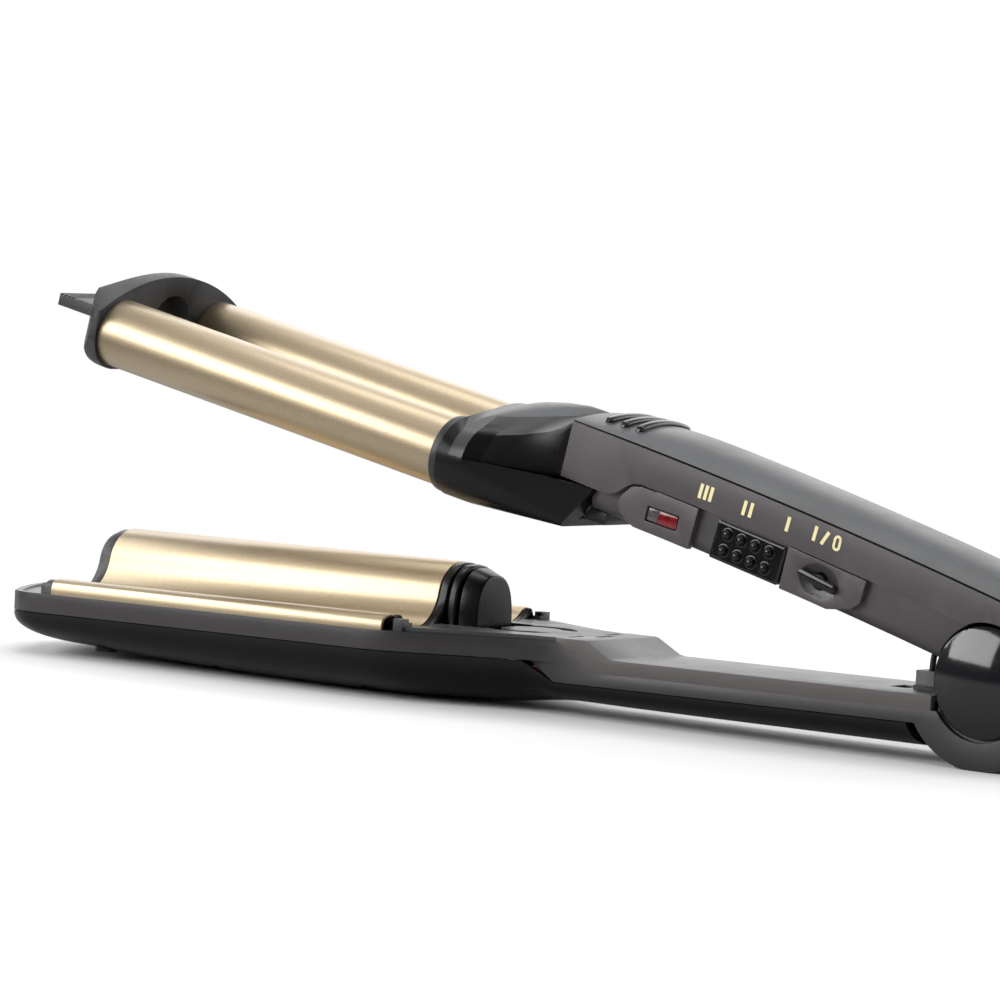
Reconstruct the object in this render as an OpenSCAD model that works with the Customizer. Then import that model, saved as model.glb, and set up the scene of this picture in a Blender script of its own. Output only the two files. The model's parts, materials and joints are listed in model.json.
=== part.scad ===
// Three-barrel hair waver: a deep-wave hair crimper with two heated barrels on the upper arm
// and one ridge-shaped heated plate on the lower arm.  Units are millimetres.
//
// Frame: the origin is on the table top, straight under the middle of the arm hinge.  The arms
// run towards -X, Y is along the hinge axis, +Z is up with the lower arm lying on its rest faces
// and the arms sprung open.
// The side with the controls is the -Y side.

/* [Upper arm] */
// outer radius of the two heated barrels
barrel_r = 10; // [9.5:0.05:10]
// distance of each barrel axis from the middle plane
barrel_y = 22.25; // [22.1:0.05:22.4]
// height of the barrel axes above the hinge, measured square to the arm
barrel_w = 10.76; // [10.6:0.02:10.9]
// hinge to the front end of the barrels
barrel_front = 303.7; // [296:0.1:306]
// hinge to the rear end of the visible barrel
barrel_rear = 179.2; // [179:0.1:180]
// angle between the arms when the spring holds them open
open_angle = 12.34; // [10:0.02:12.4]

/* [Lower arm] */
// radius of the ridge of the heated plate
crest_r = 10.73; // [10.4:0.01:10.8]
// height of the centre of the ridge
crest_z = 6.36; // [6.2:0.01:6.4]
// thickness of the heated plate
plate_t = 1.2; // [1:0.05:1.3]
// outer radius of the hinge housing
hub_r = 23.7; // [23.6:0.05:24]

/* [Handles] */
// half width of both handles
grip_y = 17.8; // [17.7:0.05:18]
// height of the crown of the top cover above its edge
crown = 4.9; // [4.3:0.1:5.2]
// radius of the round hinge caps
cap_r = 15; // [14:0.1:15.2]
// thickness of the moulded walls
wall = 2; // [1.7:0.1:2.1]

/* [Controls] */
// length of the sliding heat pad
pad_len = 23.2; // [20:0.1:23.4]
// height of the sliding heat pad
pad_h = 10.8; // [9.6:0.1:11]
// length of the grip bar of the power knob
bar_len = 13.2; // [10:0.1:13.4]

/* [Hinge] */
// diameter of the hinge pin
pin_d = 5; // [4.6:0.1:5.2]
// running clearance round the pin, on the radius
pin_gap = 0.05; // [0.02:0.01:0.1]
// wire thickness of the torsion spring
spring_wire = 1.4; // [1.1:0.1:1.5]

/* [Hidden] */

lie = asin(2.98/225);          // the lower arm lies this much nose down
hinge_z = 23.4;                // height of the hinge axis over both rest faces
lift = open_angle - lie;       // upper arm against the horizontal
R = 1923;                      // long arch of the upper handle
cu = 176; cw = 30.3 - R;       // centre of that arch
function seam(u) = cw + sqrt(R*R - (cu-u)*(cu-u));
cr_top = (grip_y*grip_y + crown*crown)/(2*crown);
valley_r = sqrt(barrel_y*barrel_y + (barrel_w-crest_z)*(barrel_w-crest_z)) - crest_r;
tang = atan2(barrel_w-crest_z, barrel_y);

module at_hinge() translate([0, 0, hinge_z]) children();
module low() at_hinge() rotate([0, -lie, 0]) children();
module upp() at_hinge() rotate([0, lift, 0]) children();
// cylinder along Y, centred on y0
module ycyl(r, y0, y1, x=0, z=0, fn=96) translate([x, y0, z]) rotate([-90, 0, 0]) cylinder(r=r, h=y1-y0, $fn=fn);
// cylinder along X from x0 to x1
module xcyl(r, x0, x1, y=0, z=0, fn=96) translate([x0, y, z]) rotate([0, 90, 0]) cylinder(r=r, h=x1-x0, $fn=fn);
module box(x0, x1, y0, y1, z0, z1) translate([x0, y0, z0]) cube([x1-x0, y1-y0, z1-z0]);
// outline drawn in distance-from-hinge and height, made solid from y0 to y1
module side(y0, y1) translate([0, y1, 0]) rotate([90, 0, 0]) mirror([1, 0, 0]) linear_extrude(y1-y0) children();
// outline drawn in Y and Z, made solid from x0 to x1
module across(x0, x1) translate([x0, 0, 0]) rotate([90, 0, 90]) linear_extrude(x1-x0) children();
// outline drawn in X and Y, made solid from z0 to z1
module plan(z0, z1) translate([0, 0, z0]) linear_extrude(z1-z0) children();
// section (height above the seam, Y) swept along the long arch from u0 to u1
module sweep(u0, u1) translate([-cu, 0, cw]) rotate([90, 0, 0])
  rotate([0, 0, 90 - asin((cu-u0)/R)]) rotate_extrude(angle=asin((cu-u0)/R)-asin((cu-u1)/R), $fn=1080)
  translate([R, 0]) children();
module sq(a0, a1, b0, b1) translate([a0, b0]) square([a1-a0, b1-b0]);
module crown_disc(dr) translate([crown-cr_top, 0]) circle(r=cr_top-dr, $fn=180);

// ---------------------------------------------------------------- lower arm
// half outline of the tray seen from above, pulled in by g
function tray_half(g) = [[-136+g, -grip_y+g], [-146, -20+g], [-153, -23.4+g], [-161, -27.3+g], [-169, -31.6+g],
  [-177, -36+g], [-183, -38.3+g], [-190, -39.2+g], [-309, -39.2+g], [-314+g*0.3, -38.3+g], [-318.2+g*0.6, -35.6+g*0.8],
  [-325+g*0.9, -25+g*0.5], [-330.5+g, -14], [-333.6+g, -5]];
function flip(p) = [for (i=[len(p)-1:-1:0]) [p[i][0], -p[i][1]]];
module tray_plan(g=0) polygon(concat(tray_half(g), flip(tray_half(g))));
// hull section across the tray
module hull_section(g=0) polygon([[-39.2+g, -6.9], [-38.7+g, -10], [-36.6+g, -13+g*0.5], [-32.5+g, -16+g*0.8], [-26, -18.6+g],
  [-17, -20.4+g], [-8, -21+g], [8, -21+g], [17, -20.4+g], [26, -18.6+g], [32.5-g, -16+g*0.8], [36.6-g, -13+g*0.5],
  [38.7-g, -10], [39.2-g, -6.9]]);
// keel line seen from the side
module keel(g=0) polygon([[16, -6.9], [16, -19.3+g], [60, -18.9+g], [118, -18.3+g], [134, -18+g], [146, -18.9+g], [160, -20.3+g],
  [178, -20.85+g], [203, -20.95+g], [226, -20.75+g], [250, -20.2+g], [275, -19.3+g], [300, -17.6+g], [318-g*0.5, -15.2+g], [328-g*0.8, -12.6+g], [334-g, -9], [334.2-g, -6.9]]);
module hull_body(g) intersection() {
  side(-45, 45) keel(g);
  union() {
    intersection() { across(-340, -140) hull_section(g); plan(-25, -6.9) tray_plan(g); }
    intersection() {
      across(-150, -16) polygon([[-grip_y+g, -6.9], [-grip_y+g, -14.6], [-16.2+g, -17], [-12, -18.9+g], [-7, -20+g], [7, -20+g],
        [12, -18.9+g], [16.2-g, -17], [grip_y-g, -14.6], [grip_y-g, -6.9]]);
      plan(-25, -6.9) polygon([[-16, -25], [-16, 25], [-150, 25], [-150, -25]]);
    }
  }
}
boss_x = [-292, -250, -196];
module lower_hull() color([0.05, 0.05, 0.055]) difference() {
  low() difference() {
    union() {
      difference() {
        hull_body(0);
        hull_body(2.1);
        // the bottom cover stops at the hinge housing with a slanted edge, and below the handle frame
        side(-30, 30) polygon([[0, 0], [0, -30], [19, -30], [22.5, -12.4], [22.5, 0]]);
        box(-137.5, 0, -30, 30, -12.4, 0);
        side(-30, 30) polygon([[137.4, -12.4], [137.4, 0], [147, 0], [147, -6.9]]);
      }
      for (x=boss_x) for (s=[-1, 1]) translate([x, s*24, -17.6]) cylinder(r=3, h=10.6, $fn=48);
      for (x=[-120, -50]) translate([x, 0, -18.2]) cylinder(r=3, h=8.2, $fn=48);
    }
    for (x=boss_x) for (s=[-1, 1]) translate([x, s*24, -25]) { cylinder(r=1.3, h=30, $fn=32); cylinder(r=2.4, h=10, $fn=32); }
    for (x=[-120, -50]) translate([x, 0, -25]) { cylinder(r=1.3, h=30, $fn=32); cylinder(r=2.4, h=9, $fn=32); }
  }
  box(-400, 60, -60, 60, -10, 0);
}

module lower_frame() color([0.33, 0.31, 0.32]) difference() {
  low() difference() {
    union() {
      // rim band of the tray
      difference() {
        union() {
          plan(-6.9, -1.3) tray_plan(0);
          // side walls of the handle, rising to the ramp
          side(-grip_y, grip_y) polygon([[18, -12.4], [18, -8.7], [114, -8.7], [121, -9], [127, -7.4], [132, -4], [136, -1.6],
            [137.3, -1.3], [146, -1.3], [146, -6.9], [137.3, -12.4]]);
        }
        difference() {
          plan(-30, 3) tray_plan(2.2);
          box(-190, -130, -50, 50, -20, 5);
          // deck that closes the nose in front of the plate
          box(-340, -308.7, -50, 50, -3.6, -1.9);
        }
        box(-186, -147, -grip_y+2, grip_y-2, -20, 5);
        plan(-30, -2.9) intersection() { tray_plan(2.2); sq(-190, -147, -50, 50); }
        box(-148, -10, -grip_y+2, grip_y-2, -20, 5);
        // seats of the plate, the wall behind it and the ramp
        box(-barrel_front-0.1, -183.3, -36.98, 36.98, -2.5, 5);
        box(-183.5, -180.1, -35.5, 35.5, -5, 5);
        box(-188.6, -183.2, -30.1, 30.1, -5, 5);
        side(-30, 30) polygon([[90, -8.7], [114, -8.7], [121, -9], [127, -7.4], [132, -4], [136, -1.6], [137.3, -1.3], [137.3, 5], [90, 5]]);
      }
      // cross bars with screw pads
      for (x=[-120, -50]) difference() {
        box(x-4, x+4, -grip_y+1, grip_y-1, -10, -9.05);
        translate([x, 0, -12]) cylinder(r=1.05, h=9, $fn=32);
      }
      // hinge housing
      difference() {
        union() {
          ycyl(hub_r, -grip_y, grip_y, 0, 0, 180);
          box(-26, -10, -grip_y, grip_y, -12.4, -8.7);
        }
        // everything above the lower half is cut away
        side(-30, 30) polygon([[40, 30], [40, -8.7], [12, -8.7], [4, -7], [-6, -7.6], [-40, -16.4], [-40, 30]]);
      }
      // cheeks that carry the pin
      for (s=[-1, 1]) scale([1, s, 1]) difference() {
        union() {
          ycyl(cap_r-0.2, 12.9, 15.9, 0, 0, 120);
          box(-14, 12, 12.9, 15.9, -12, -4);
        }
      }
    }
    // room for the tongue of the upper arm
    ycyl(13.4, -12.9, 12.9, 0, 0, 120);
    side(-12.9, 12.9) polygon([[-11, 30], [-11, -7.6], [13.4, 0], [13.4, 30]]);
    // seat of the round caps
    for (s=[-1, 1]) scale([1, s, 1]) ycyl(cap_r+1, 15.9, 30, 0, 0, 120);
    // bore for the pin, floor left for the sleeve, hollow of the housing
    ycyl(pin_d/2, -30, 30, 0, 0, 64);
    difference() {
      ycyl(hub_r-2.2, -15.6, 15.6, 0, 0, 120);
      ycyl(15.6, -30, 30, 0, 0, 120);
      side(-30, 30) polygon([[0, 0], [-40, -26], [-40, 30], [40, 30], [40, -8.7], [12, -8.7]]);
    }
    box(-30, -14, -12.9, 12.9, -22, 5);
  }
  box(-400, 60, -60, 60, -10, 0);
}

// top of the lower arm behind the plate: raised deck, ramp, handle deck with its skirt
module deck_cover() color([0.42, 0.42, 0.43]) low() difference() {
  union() {
    difference() {
      union() {
        plan(-1.3, 0) intersection() { tray_plan(1.4); sq(-180.1, -128, -50, 50); }
        side(-grip_y, grip_y) polygon([[137.2, 0], [128.4, 0], [127, -0.2], [119.4, -4.3], [117.6, -4.7], [15.2, -4.7], [15.2, -8.68], [114, -8.68],
          [121, -8.96], [127, -7.35], [132, -3.96], [136, -1.56], [137.2, -1.3]]);
      }
      side(-grip_y+wall, grip_y-wall) polygon([[137.3, -1.8], [127.6, -1.8], [120.4, -5.6], [118.2, -6.5], [15, -6.5], [15, -20], [137.3, -20]]);
    }
    // seat that hooks into the frame
    plan(-4.4, -1.3) intersection() { tray_plan(3.6); sq(-150, -147.2, -15.7, 15.7); }
  }
  // clearance round the hinge, wire slot, horseshoe opening and vents
  ycyl(cap_r+0.9, -30, 30, 0, 0, 120);
  box(-37, -31, -4, 4, -10, 0);
  sleeve_torus(1.3, 180, 212);
  difference() {
    plan(-3, 1) difference() {
      translate([-158, 0]) circle(r=13, $fn=96);
      translate([-158, 0]) circle(r=8.6, $fn=96);
      sq(-160, -140, -6, 6);
    }
  }
  for (y=[-9, 9]) plan(-3, 1) translate([-136.5, y]) sq(-1, 1, -3.4, 3.4);
  plan(-3, 1) translate([-133, 0]) sq(-0.9, 0.9, -4, 4);
  // valleys under the barrel shrouds
  for (s=[-1, 1]) xcyl(barrel_w+1.2, -190, -166, s*barrel_y, barrel_w+0.5, 96);
  // room for the clips and the nose of the rear guard
  for (s=[-1, 1]) scale([1, s, 1]) box(-181, -177, 30.9, 40, -3, 3);
  box(-190, -165.6, -12.4, 12.4, -3, 2);
}

// ridge-and-valley profile of the heated plate, upper face lowered by g
na = 18;
function crest_pt(a, g) = [ (crest_r-g)*cos(a), crest_z + (crest_r-g)*sin(a)];
function valley_pt(a, g) = [ barrel_y + (valley_r+g)*cos(a), barrel_w + (valley_r+g)*sin(a)];
function half_profile(g) = concat(
  [for (i=[0:na]) crest_pt(90 - i*(90-tang)/na, g)],
  [for (i=[1:na]) valley_pt(180+tang + i*(136-tang)/na, g)]);
function lip(g) = [[32.2, 3.0-g*0.9], [33.6, 3.15-g], [35.2-g*0.3, 2.75-g*0.9], [36.3-g*0.8, 1.9-g*0.5], [36.9-g, 0.4], [36.9-g, -2.2]];
function mirror_y(p) = [for (q=p) [-q[0], q[1]]];
function rev(p) = [for (i=[len(p)-1:-1:0]) p[i]];
function full(g) = concat(rev(mirror_y(concat(half_profile(g), lip(g)))), [for (i=[1:len(half_profile(g))-1]) half_profile(g)[i]], lip(g));
module wave_plate() color([0.80, 0.70, 0.52]) low()
  across(-barrel_front+0.15, -183.4) polygon(concat(full(0), rev(full(plate_t))));

module crest_spreader() color([0.75, 0.76, 0.78]) low() difference() {
  xcyl(crest_r-plate_t-0.1, -299, -188, 0, crest_z, 128);
  box(-310, -180, -20, 20, -10, 3.9);
  box(-310, -180, -6, 6, 3, 8.4);
  for (s=[-1, 1]) box(-310, -180, s*9.2-1.4, s*9.2+1.4, 3, 8.8);
}
module crest_heater() color([0.93, 0.92, 0.88]) low() union() {
  box(-296, -192, -6, 6, 4.2, 8.4);
  for (y=[-3, 3]) box(-192, -187, y-0.6, y+0.6, 5.6, 6.8);
}
module plate_carrier() color([0.16, 0.16, 0.17]) low() difference() {
  union() {
    box(-302, -190, -34.6, 34.6, -4.6, barrel_w-valley_r-plate_t);
    for (x=[-296, -246, -197]) box(x-2, x+2, -8, 8, -4.6, 3.9);
    for (x=boss_x) for (s=[-1, 1]) translate([x, s*24, -7]) cylinder(r=3.4, h=3, $fn=48);
  }
  for (x=boss_x) for (s=[-1, 1]) translate([x, s*24, -8]) cylinder(r=1.05, h=5, $fn=32);
  for (x=[-272, -222]) box(x-14, x+14, -16, 16, -6, 0);
}
module guard_profile(g, y_end) polygon(concat([[-y_end, -4.6]],
  [for (p=full(g)) if (abs(p[0]) < y_end && p[1] > -2.6) p], [[y_end, -4.6]]));
module front_wall() color([0.04, 0.04, 0.045]) low() difference() {
  union() {
    across(-306.3, -barrel_front+0.15) guard_profile(0.5, 36.95);
    across(-308.5, -306.2) guard_profile(1.5, 36);
    box(-barrel_front-0.1, -302.2, -30, 30, -4.6, -2.6);
  }
  box(-305.4, -300, -9, 9, -6, 5);
}
module rear_guard() color([0.05, 0.05, 0.055]) low() difference() {
  union() {
    across(-183.4, -180.2) guard_profile(0.2, 35.4);
    across(-180.3, -178.2) guard_profile(2.2, 11.8);
    across(-178.3, -175.4) guard_profile(0.6, 11.9);
    across(-175.5, -173.6) guard_profile(2.6, 11.6);
    across(-173.7, -168.2) guard_profile(0.9, 11.7);
    across(-168.3, -166.4) guard_profile(2.1, 10.9);
    box(-188.4, -183.3, -30, 30, -4.6, -2.6);
  }
  box(-190, -169, -6.6, 6.6, -6, 11);
}
module lip_clips() color([0.08, 0.08, 0.08]) low() for (s=[-1, 1]) scale([1, s, 1]) difference() {
  union() {
    box(-180.1, -177.1, 32.6, 35.9, -1.28, 2.1);
    box(-180.1, -177.1, 31.1, 32.7, -1.28, 1.0);
  }
  translate([-178.6, 34.9, 1.2]) rotate([90, 0, 0]) cylinder(r=0.6, h=3.5, $fn=32);
}
sl_r = 26; // bend radius of the wire sleeve, centred on the hinge
module sleeve_torus(r, a0, a1) rotate([90, 0, 0]) rotate([0, 0, a0]) rotate_extrude(angle=a1-a0, $fn=180) translate([sl_r, 0]) circle(r=r, $fn=32);
module sleeve_post() color([0.12, 0.12, 0.13]) low() difference() {
  union() {
    box(-29, -22.2, -3.4, 3.4, -4.7, 0.4);
    box(-29.4, -21.9, -3.8, 3.8, -4.7, -3.6);
  }
  translate([0, 0, 0]) sleeve_torus(1.15, 165, 205);
  ycyl(cap_r+1.4, -30, 30, 0, 0, 96);
}
module plate_leads() color([0.75, 0.12, 0.10]) low() for (s=[-1, 1]) union() {
  xcyl(0.8, -172, -36, s*4.6, -11.5, 24);
  xcyl(0.8, -186.8, -172, s*4.6, 6.2, 24);
  translate([-172, s*4.6, -11.5]) cylinder(r=0.8, h=17.7, $fn=24);
  translate([-172, s*4.6, 6.2]) sphere(r=0.8, $fn=24);
  translate([-172, s*4.6, -11.5]) sphere(r=0.8, $fn=24);
}
module csk(h) { cylinder(r1=2.3, r2=1, h=1.5, $fn=32); cylinder(r=1, h=h, $fn=32); }
module cross_slot() for (a=[0, 90]) rotate([0, 0, a]) translate([-1.2, -0.25, -0.1]) cube([2.4, 0.5, 0.8]);
module hull_screws() color([0.55, 0.55, 0.57]) low() {
  for (x=boss_x) for (s=[-1, 1]) translate([x, s*24, -16.5]) difference() { csk(12); cross_slot(); }
  for (x=[-120, -50]) translate([x, 0, -17.5]) difference() { csk(8.4); cross_slot(); }
}

// ---------------------------------------------------------------- hinge
module hinge_pin() color([0.72, 0.73, 0.75]) at_hinge() ycyl(pin_d/2, -15.9, 15.9, 0, 0, 64);
module dome(s) scale([1, s, 1]) low() union() {
  ycyl(cap_r, 15.9, 17.2, 0, 0, 120);
  intersection() {
    ycyl(cap_r, 17.1, 22, 0, 0, 120);
    translate([0, 20.4-dome_r, 0]) sphere(r=dome_r, $fn=180);
  }
}
module hinge_cap_near() color([0.03, 0.03, 0.035]) dome(-1);
module hinge_cap_far() color([0.03, 0.03, 0.035]) dome(1);
module hinge_washers() color([0.85, 0.83, 0.75]) at_hinge() for (s=[-1, 1]) scale([1, s, 1]) difference() {
  ycyl(6.5, 12.55, 12.85, 0, 0, 64);
  ycyl(pin_d/2+pin_gap, 12, 14, 0, 0, 64);
}
sp_r = pin_d/2 + 1.1 + spring_wire/2;
dome_r = (cap_r*cap_r + 3.2*3.2)/6.4;
module torsion_spring() color([0.45, 0.45, 0.47]) union() {
  at_hinge() rotate([90, 0, 0]) rotate_extrude($fn=64) union() {
    for (i=[-4:4]) translate([sp_r, i*spring_wire*0.94]) circle(r=spring_wire/2, $fn=24);
  }
  // long leg bearing on the housing, short leg caught in the tongue
  low() translate([-sp_r, -4*spring_wire*0.94, 0]) rotate([180, 0, 0]) cylinder(r=spring_wire/2-0.05, h=11, $fn=16);
  upp() translate([0, 4*spring_wire*0.94, sp_r]) rotate([0, 90, 0]) cylinder(r=spring_wire/2-0.05, h=6.5, $fn=16);
}

// ---------------------------------------------------------------- upper arm
// side outline of the band: the wide front part and the long narrow tail
module band_outline(g) polygon(concat(
  [[145, 40], [145, 14.3-g], [129.4, 13.8-g], [127, 14.4-g], [125, 15.7-g], [123.2, 17.6-g], [121, 19-g], [118, 19.6-g]],
  [for (u=[114:-6:-30]) [u, seam(u)-9.8-g]], [[-30, 40]]));
rear_u = -27;
module side_band() color([0.40, 0.38, 0.385]) upp() difference() {
  union() {
    intersection() {
      sweep(rear_u, 145) difference() {
        sq(-17, -0.1, -grip_y, grip_y);
        sq(-20, 5, -grip_y+wall, grip_y-wall);
      }
      side(-30, 30) band_outline(0);
    }
    // bridges that join the two walls at both ends
    intersection() { sweep(143, 145) sq(-16, -1.9, -15.9, 15.9); side(-30, 30) sq(143, 145, 14.4, 40); }
    sweep(rear_u, rear_u+2) sq(-9.8, -0.1, -15.9, 15.9);
  }
  box(-146, -142, -13.2, 13.2, 15.9, 26.6);
  for (s=[-1, 1]) scale([1, s, 1]) ycyl(cap_r+1.1, 12.6, 30, 0, 0, 120);
  xcyl(5.6, 20, 32, 0, 9, 64);
}
module top_cover() color([0.36, 0.37, 0.38]) upp() difference() {
  union() {
    sweep(rear_u, 145) difference() {
      intersection() { crown_disc(0); sq(0, 20, -grip_y, grip_y); }
      crown_disc(2);
    }
    // skirt inside the band
    sweep(rear_u+2.1, 142.9) for (s=[-1, 1]) scale([1, s]) sq(-1.8, 1.2, 13.6, grip_y-wall-0.02);
  }
  // seats of the grip ribs
  for (u=[137.4, 132.2, 127]) intersection() {
    sweep(u-1.15, u+1.15) difference() { crown_disc(-3); crown_disc(0.4); }
    box(-150, -100, -12.5, 12.5, 20, 60);
  }
}
module grip_ribs() color([0.02, 0.02, 0.025]) upp() for (u=[137.4, 132.2, 127])
  intersection() {
    sweep(u-1.15, u+1.15) difference() { crown_disc(-1.3); crown_disc(0.4); }
    box(-150, -100, -12.5, 12.5, 20, 60);
  }
scr_u = [118, 34];
shell_y = grip_y - wall - 0.02;
module shell_section() polygon(concat(
  [[-2, shell_y]], [for (i=[0:8]) [-18.5 - 3.5*sin(i*90/8), shell_y - 3.5 + 3.5*cos(i*90/8)]],
  [for (i=[8:-1:0]) [-18.5 - 3.5*sin(i*90/8), -(shell_y - 3.5 + 3.5*cos(i*90/8))]], [[-2, -shell_y], [-2, -13.9], [-18.4, -13.9], [-20, -12.4], [-20, 12.4], [-18.4, 13.9], [-2, 13.9]]));
module lower_shell() color([0.20, 0.195, 0.2]) difference() {
  upp() difference() {
    union() {
      intersection() {
        union() {
          sweep(rear_u, 134) shell_section();
          // inner lip that the front end rests on
          sweep(rear_u, rear_u+2) sq(-21, -10, -14.5, 14.5);
        }
        side(-30, 30) polygon([[133.6, 40], [133.6, 13.05], [142, -3], [142, -12], [-30, -12], [-30, 40]]);
      }
      for (u=scr_u) translate([-u, 0, seam(u)-21]) cylinder(r=3.2, h=12, $fn=48);
      // tongue on the hinge
      difference() {
        union() {
          ycyl(12.6, -12.5, 12.5, 0, 0, 120);
          side(-12.5, 12.5) polygon([[-11, 3.2], [-11, -2.4], [0, -2], [15.9, -2], [15.9, 3.7], [0, 3.4]]);
        }
        side(-15, 15) polygon([[-30, 2.05], [0, 3.05], [40, 5.35], [40, 40], [-30, 40]]);
      }
    }
    // clear of the cheeks and caps
    for (s=[-1, 1]) scale([1, s, 1]) ycyl(cap_r+1.1, 12.55, 30, 0, 0, 120);
    side(-30, 30) polygon([[-40, -30], [-40, -5.8], [-17, -4.2], [-13.2, -3], [-13.2, -30]]);
    // pin bore and room for the spring
    ycyl(pin_d/2+pin_gap, -30, 30, 0, 0, 64);
    ycyl(sp_r+spring_wire/2+0.6, -8.2, 8.2, 0, 0, 96);
    box(0, 8, -8.2, 8.2, 0, 12);
    // room for the rear bridge of the band
    sweep(rear_u-1, rear_u+2.1) sq(-9.95, 5, -20, 20);
    // windows: pad slot, switch stem, lamp
    box(-91, -77.5, -20, -10, 10.2, 13.8);
    translate([-56.2, -20, 10.9]) rotate([-90, 0, 0]) cylinder(r=2.3, h=10, $fn=48);
    box(-114.6, -104.4, -20, -10, 10.6, 14.4);
    // screw holes, mouth for the sleeve, hole for the cord
    for (u=scr_u) translate([-u, 0, seam(u)-24]) { cylinder(r=2.5, h=4.2, $fn=32); cylinder(r=1.05, h=16, $fn=32); }
    box(-29.4, -22, -3.6, 3.6, -3, 8);
    xcyl(5.6, 20, 32, 0, 9, 64);
  }
  // clearance for the spring leg through the foot of the tongue, over the whole swing
  low() side(-7, -4) polygon([[sp_r-1.1, 0], [sp_r-1.1, -20], [(sp_r+1.05)*cos(12)+20*sin(12), (sp_r+1.05)*sin(12)-20*cos(12)],
    [(sp_r+1.05)*cos(12), (sp_r+1.05)*sin(12)]]);
}

module neck_outer(g) hull() {
  for (s=[-1, 1]) xcyl(11.4-g, -176.4+g*0.01, -168, s*barrel_y, barrel_w, 48);
  box(-176.4+g*0.01, -168, -9, 9, 8, 25-g);
  box(-146, -134, -grip_y+0.3+g, grip_y-0.3-g, 1.4+g, 28.6-g);
  box(-147, -145, -6, 6, 8, 31.2-g);
}
module seam_above(g) side(-60, 60) polygon([[200, 10.55+g], [145, 13.9+g], [145, 60], [200, 60]]);
module neck_channel(g) {
  xcyl(13.3+g, -190, -160+g, 0, crest_z, 96);
  box(-190, -160+g, -13.3-g, 13.3+g, -10, crest_z);
}
module neck_holes() for (s=[-1, 1]) {
  xcyl(barrel_r, -190, -170, s*barrel_y, barrel_w, 96);
  xcyl(8.4, -171, -166, s*barrel_y, barrel_w, 96);
}
module neck_upper() color([0.05, 0.05, 0.055]) upp() difference() {
  intersection() { neck_outer(0); seam_above(0); }
  difference() {
    intersection() { translate([2.2, 0, 0]) neck_outer(2.1); translate([0, 0, -5]) seam_above(0); box(-168, -147, -60, 60, -5, 60); }
    neck_channel(2);
  }
  neck_channel(0);
  neck_holes();
  box(-149, -140, -13, 13, 5, 26.4);
}
module neck_lower() color([0.04, 0.04, 0.045]) upp() difference() {
  intersection() {
    neck_outer(0);
    side(-60, 60) polygon([[200, 10.55], [145, 13.9], [133.8, 13.7], [133.8, 13.05], [142.2, -3], [200, -3]]);
  }
  difference() {
    intersection() { translate([2.2, 0, 0]) neck_outer(2.1); box(-168, -139, -60, 60, -5, 60); side(-60, 60) polygon([[200, 60], [133, 60], [133, 13.2], [143.6, 3], [200, 3]]); }
    neck_channel(2);
  }
  neck_channel(0);
  neck_holes();
  // the handle shell and the band slide in here
  difference() {
    box(-145, -130, -30, 30, 13.75, 40);
  }
  intersection() { box(-150, -130, -13, 13, 3.4, 40); side(-60, 60) polygon([[150, 60], [130, 60], [130, 8.2], [138.5, 3.4], [150, 3.4]]); }
}
module stop_bumper() color([0.06, 0.06, 0.065]) upp() difference() {
  hull() {
    box(-139.6, -130.8, -11.8, 11.8, 5.2, 7.4);
    box(-138.4, -132, -10.6, 10.6, 3.6, 7.4);
  }
  side(-20, 20) polygon([[145, 20], [120, 20], [120, seam(120)-22.05], [128, seam(128)-22.05], [134.1, seam(134.1)-22.05], [134.1, 12.9], [142.2, -1.9], [145, -1.9]]);
  upp_clear_neck();
}
module upp_clear_neck() side(-20, 20) polygon([[133.75, 13], [142.3, -3.05], [146, -3], [146, 13]]);
module collar(s) upp() difference() {
  union() {
    xcyl(11, -barrel_rear, -176.4, s*barrel_y, barrel_w, 96);
  }
  xcyl(barrel_r, -200, -170, s*barrel_y, barrel_w, 96);
}
module collar_near() color([0.04, 0.04, 0.045]) collar(-1);
module collar_far() color([0.04, 0.04, 0.045]) collar(1);
module barrel(s) color([0.80, 0.70, 0.52]) upp() difference() {
  xcyl(barrel_r, -barrel_front, -170, s*barrel_y, barrel_w, 128);
  xcyl(barrel_r-1.1, -barrel_front-1, -169, s*barrel_y, barrel_w, 128);
}
module barrel_near() barrel(-1);
module barrel_far() barrel(1);
module spreader(s) color([0.75, 0.76, 0.78]) upp() difference() {
  xcyl(barrel_r-1.1, -294, -188, s*barrel_y, barrel_w, 96);
  box(-300, -180, s*barrel_y-5.6, s*barrel_y+5.6, barrel_w-2.2, barrel_w+2.2);
  box(-300, -180, s*barrel_y-0.8, s*barrel_y+0.8, barrel_w-12, barrel_w);
}
module spreader_near() spreader(-1);
module spreader_far() spreader(1);
module heater(s) color([0.93, 0.92, 0.88]) upp() union() {
  box(-292, -190, s*barrel_y-5.4, s*barrel_y+5.4, barrel_w-2.2, barrel_w+2.2);
  for (d=[-3, 3]) box(-190, -180, s*barrel_y+d-0.6, s*barrel_y+d+0.6, barrel_w-0.6, barrel_w+0.6);
}
module heater_near() heater(-1);
module heater_far() heater(1);
module thermal_fuse() color([0.85, 0.83, 0.78]) upp() union() {
  xcyl(1.9, -186, -176, -barrel_y, barrel_w+4.6, 32);
  xcyl(0.5, -188, -174, -barrel_y, barrel_w+4.6, 16);
}
module cap_section() difference() {
  union() {
    intersection() {
      translate([0, -29.7]) circle(r=57.6, $fn=240);
      sq(-33.25, 33.25, barrel_w, 40);
    }
    for (s=[-1, 1]) translate([s*barrel_y, barrel_w]) circle(r=11, $fn=96);
    sq(-barrel_y, barrel_y, barrel_w-11, barrel_w);
  }
}
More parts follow.
